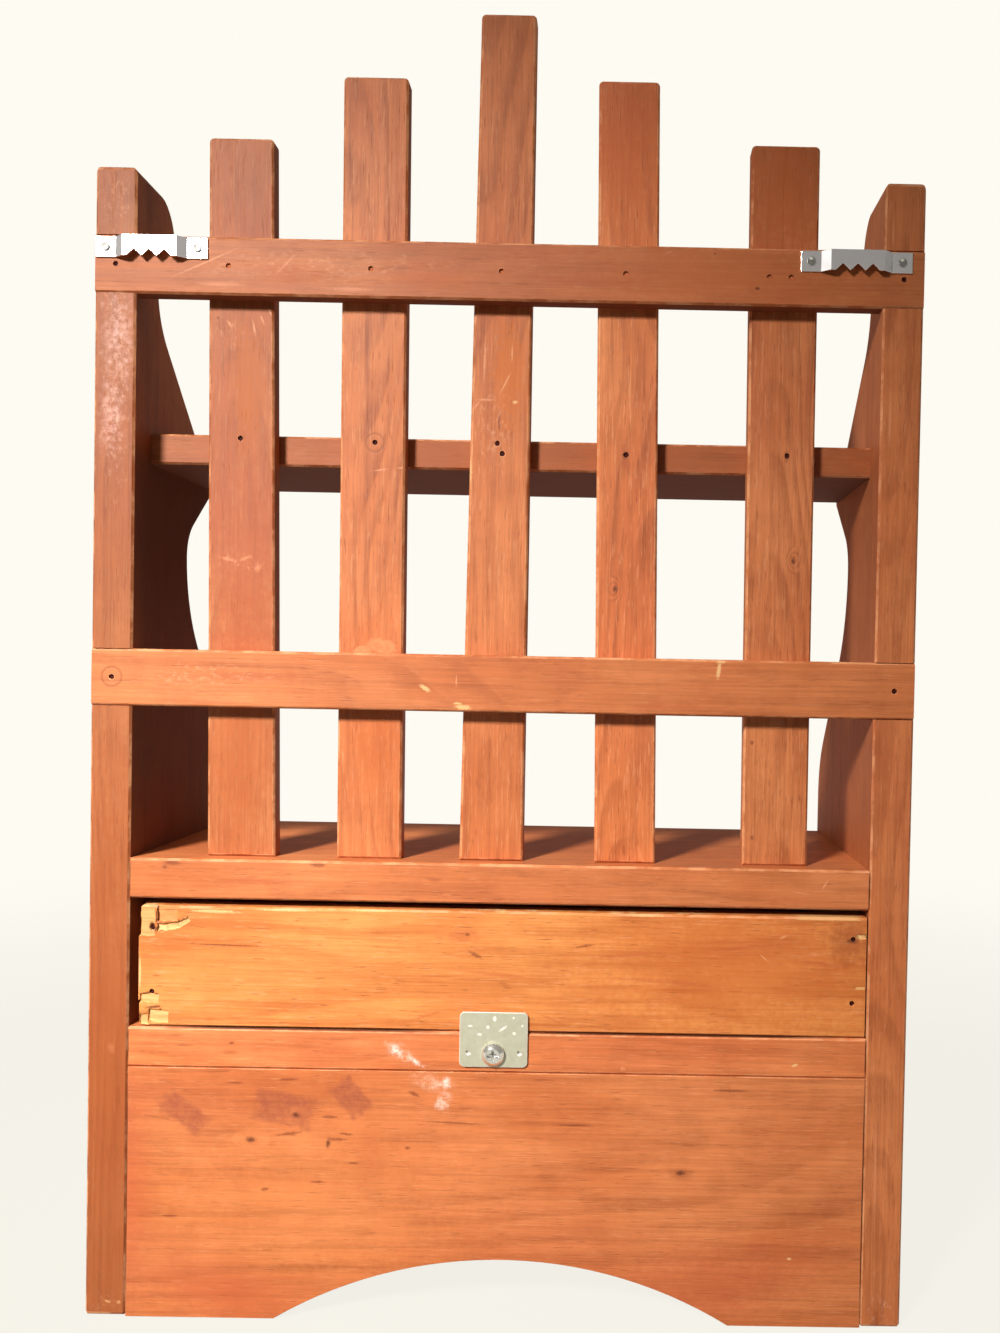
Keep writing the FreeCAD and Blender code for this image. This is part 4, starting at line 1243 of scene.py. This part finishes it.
def make_floor(stage):
    """A round floor just under the shelf."""
    work = bmesh.new()
    bmesh.ops.create_circle(work, cap_ends=True, segments=FLOOR_SIDES, radius=FLOOR_RADIUS)
    bmesh.ops.translate(work, verts=work.verts, vec=(0.0, 0.0, cad_box[0].z - FLOOR_DROP))
    mesh = bpy.data.meshes.new("floor")
    work.to_mesh(mesh)
    work.free()
    mesh.materials.append(floor_finish(stage.backdrop))
    floor = bpy.data.objects.new("floor", mesh)
    bpy.context.scene.collection.objects.link(floor)


def studio_world(stage):
    """Even light all round, and the backdrop for the camera and for gloss and glass."""
    world = bpy.data.worlds.new("studio")
    world.use_nodes = True
    mixture = Mixture(world.node_tree)
    even = mixture.node("Background", {"Color": SKY_COLOUR, "Strength": stage.sky})
    shown = mixture.node("Background", {"Color": solid(stage.backdrop), "Strength": 1.0})
    rays = mixture.node("LightPath").outputs
    gloss = mixture.math("MULTIPLY", rays["Is Glossy Ray"], SKY_GLOSS)
    seen = mixture.math("ADD", rays["Is Camera Ray"], gloss, clamp=True)
    seen = mixture.math("MAXIMUM", seen, rays["Is Transmission Ray"])
    mixed = mixture.node("MixShader", {0: seen, 1: even.outputs[0], 2: shown.outputs[0]})
    mixture.node("OutputWorld", {"Surface": mixed.outputs[0]})
    return world


def make_camera(stage):
    """The camera at the photograph's viewing angle."""
    data = bpy.data.cameras.new("camera")
    data.sensor_fit = "AUTO"
    data.sensor_width = 36.0
    data.lens = stage.camera_lens
    data.shift_x, data.shift_y = stage.camera_shift
    data.clip_start = 0.01
    camera = bpy.data.objects.new("camera", data)
    camera.location = stage.camera_place
    camera.rotation_euler = stage.camera_turn
    bpy.context.scene.collection.objects.link(camera)
    return camera


class SHELF_OT_stage(Operator):
    """Set the floor, the lamps, the backdrop and the camera"""

    bl_idname = "wall_shelf.stage"
    bl_label = "Stage"

    def execute(self, context):
        stage = context.scene.shelf_stage
        make_floor(stage)
        for name, (place, target, size, spread, glare) in LAMPS.items():
            softbox(name, place, target, size, getattr(stage, name + "_power"), spread, glare)
        context.scene.world = studio_world(stage)
        context.scene.camera = make_camera(stage)
        context.scene.view_settings.view_transform = "Standard"
        return {"FINISHED"}


class SHELF_PT_panel(Panel):
    """Shows the settings of the wood, the metal and the stage, and the buttons that make the pieces"""

    bl_idname = "SHELF_PT_panel"
    bl_label = "Wall Shelf with Drawer"
    bl_space_type = "VIEW_3D"
    bl_region_type = "UI"
    bl_category = "Wall Shelf"

    def draw(self, context):
        for title, group in GROUPS.items():
            box = self.layout.box()
            box.label(text=group.__doc__)
            settings = getattr(context.scene, title)
            for field in group.__annotations__:
                box.prop(settings, field)
        for operator in OPERATORS:
            self.layout.operator(operator.bl_idname)


GROUPS = {"shelf_timber": ShelfTimber, "shelf_metal": ShelfMetal, "shelf_stage": ShelfStage}
OPERATORS = [
    SHELF_OT_sides, SHELF_OT_rails, SHELF_OT_slats, SHELF_OT_boards, SHELF_OT_apron, SHELF_OT_drawer,
    SHELF_OT_knob, SHELF_OT_hangers, SHELF_OT_stop_plate, SHELF_OT_nails, SHELF_OT_stage,
]


def register():
    """Registers the settings, the operators and the panel."""
    for title, group in GROUPS.items():
        bpy.utils.register_class(group)
        setattr(bpy.types.Scene, title, PointerProperty(type=group))
    for made in [*OPERATORS, SHELF_PT_panel]:
        bpy.utils.register_class(made)


def unregister():
    """Takes out what register put in."""
    for made in [SHELF_PT_panel, *reversed(OPERATORS)]:
        bpy.utils.unregister_class(made)
    for title, group in reversed(GROUPS.items()):
        delattr(bpy.types.Scene, title)
        bpy.utils.unregister_class(group)


def main():
    """Makes the whole shelf and its stage."""
    register()
    bpy.ops.wall_shelf.sides()
    bpy.ops.wall_shelf.rails()
    bpy.ops.wall_shelf.slats()
    bpy.ops.wall_shelf.boards()
    bpy.ops.wall_shelf.apron()
    bpy.ops.wall_shelf.drawer()
    bpy.ops.wall_shelf.knob()
    bpy.ops.wall_shelf.hangers()
    bpy.ops.wall_shelf.stop_plate()
    bpy.ops.wall_shelf.nails()
    bpy.ops.wall_shelf.stage()


if __name__ == "__main__":
    main()
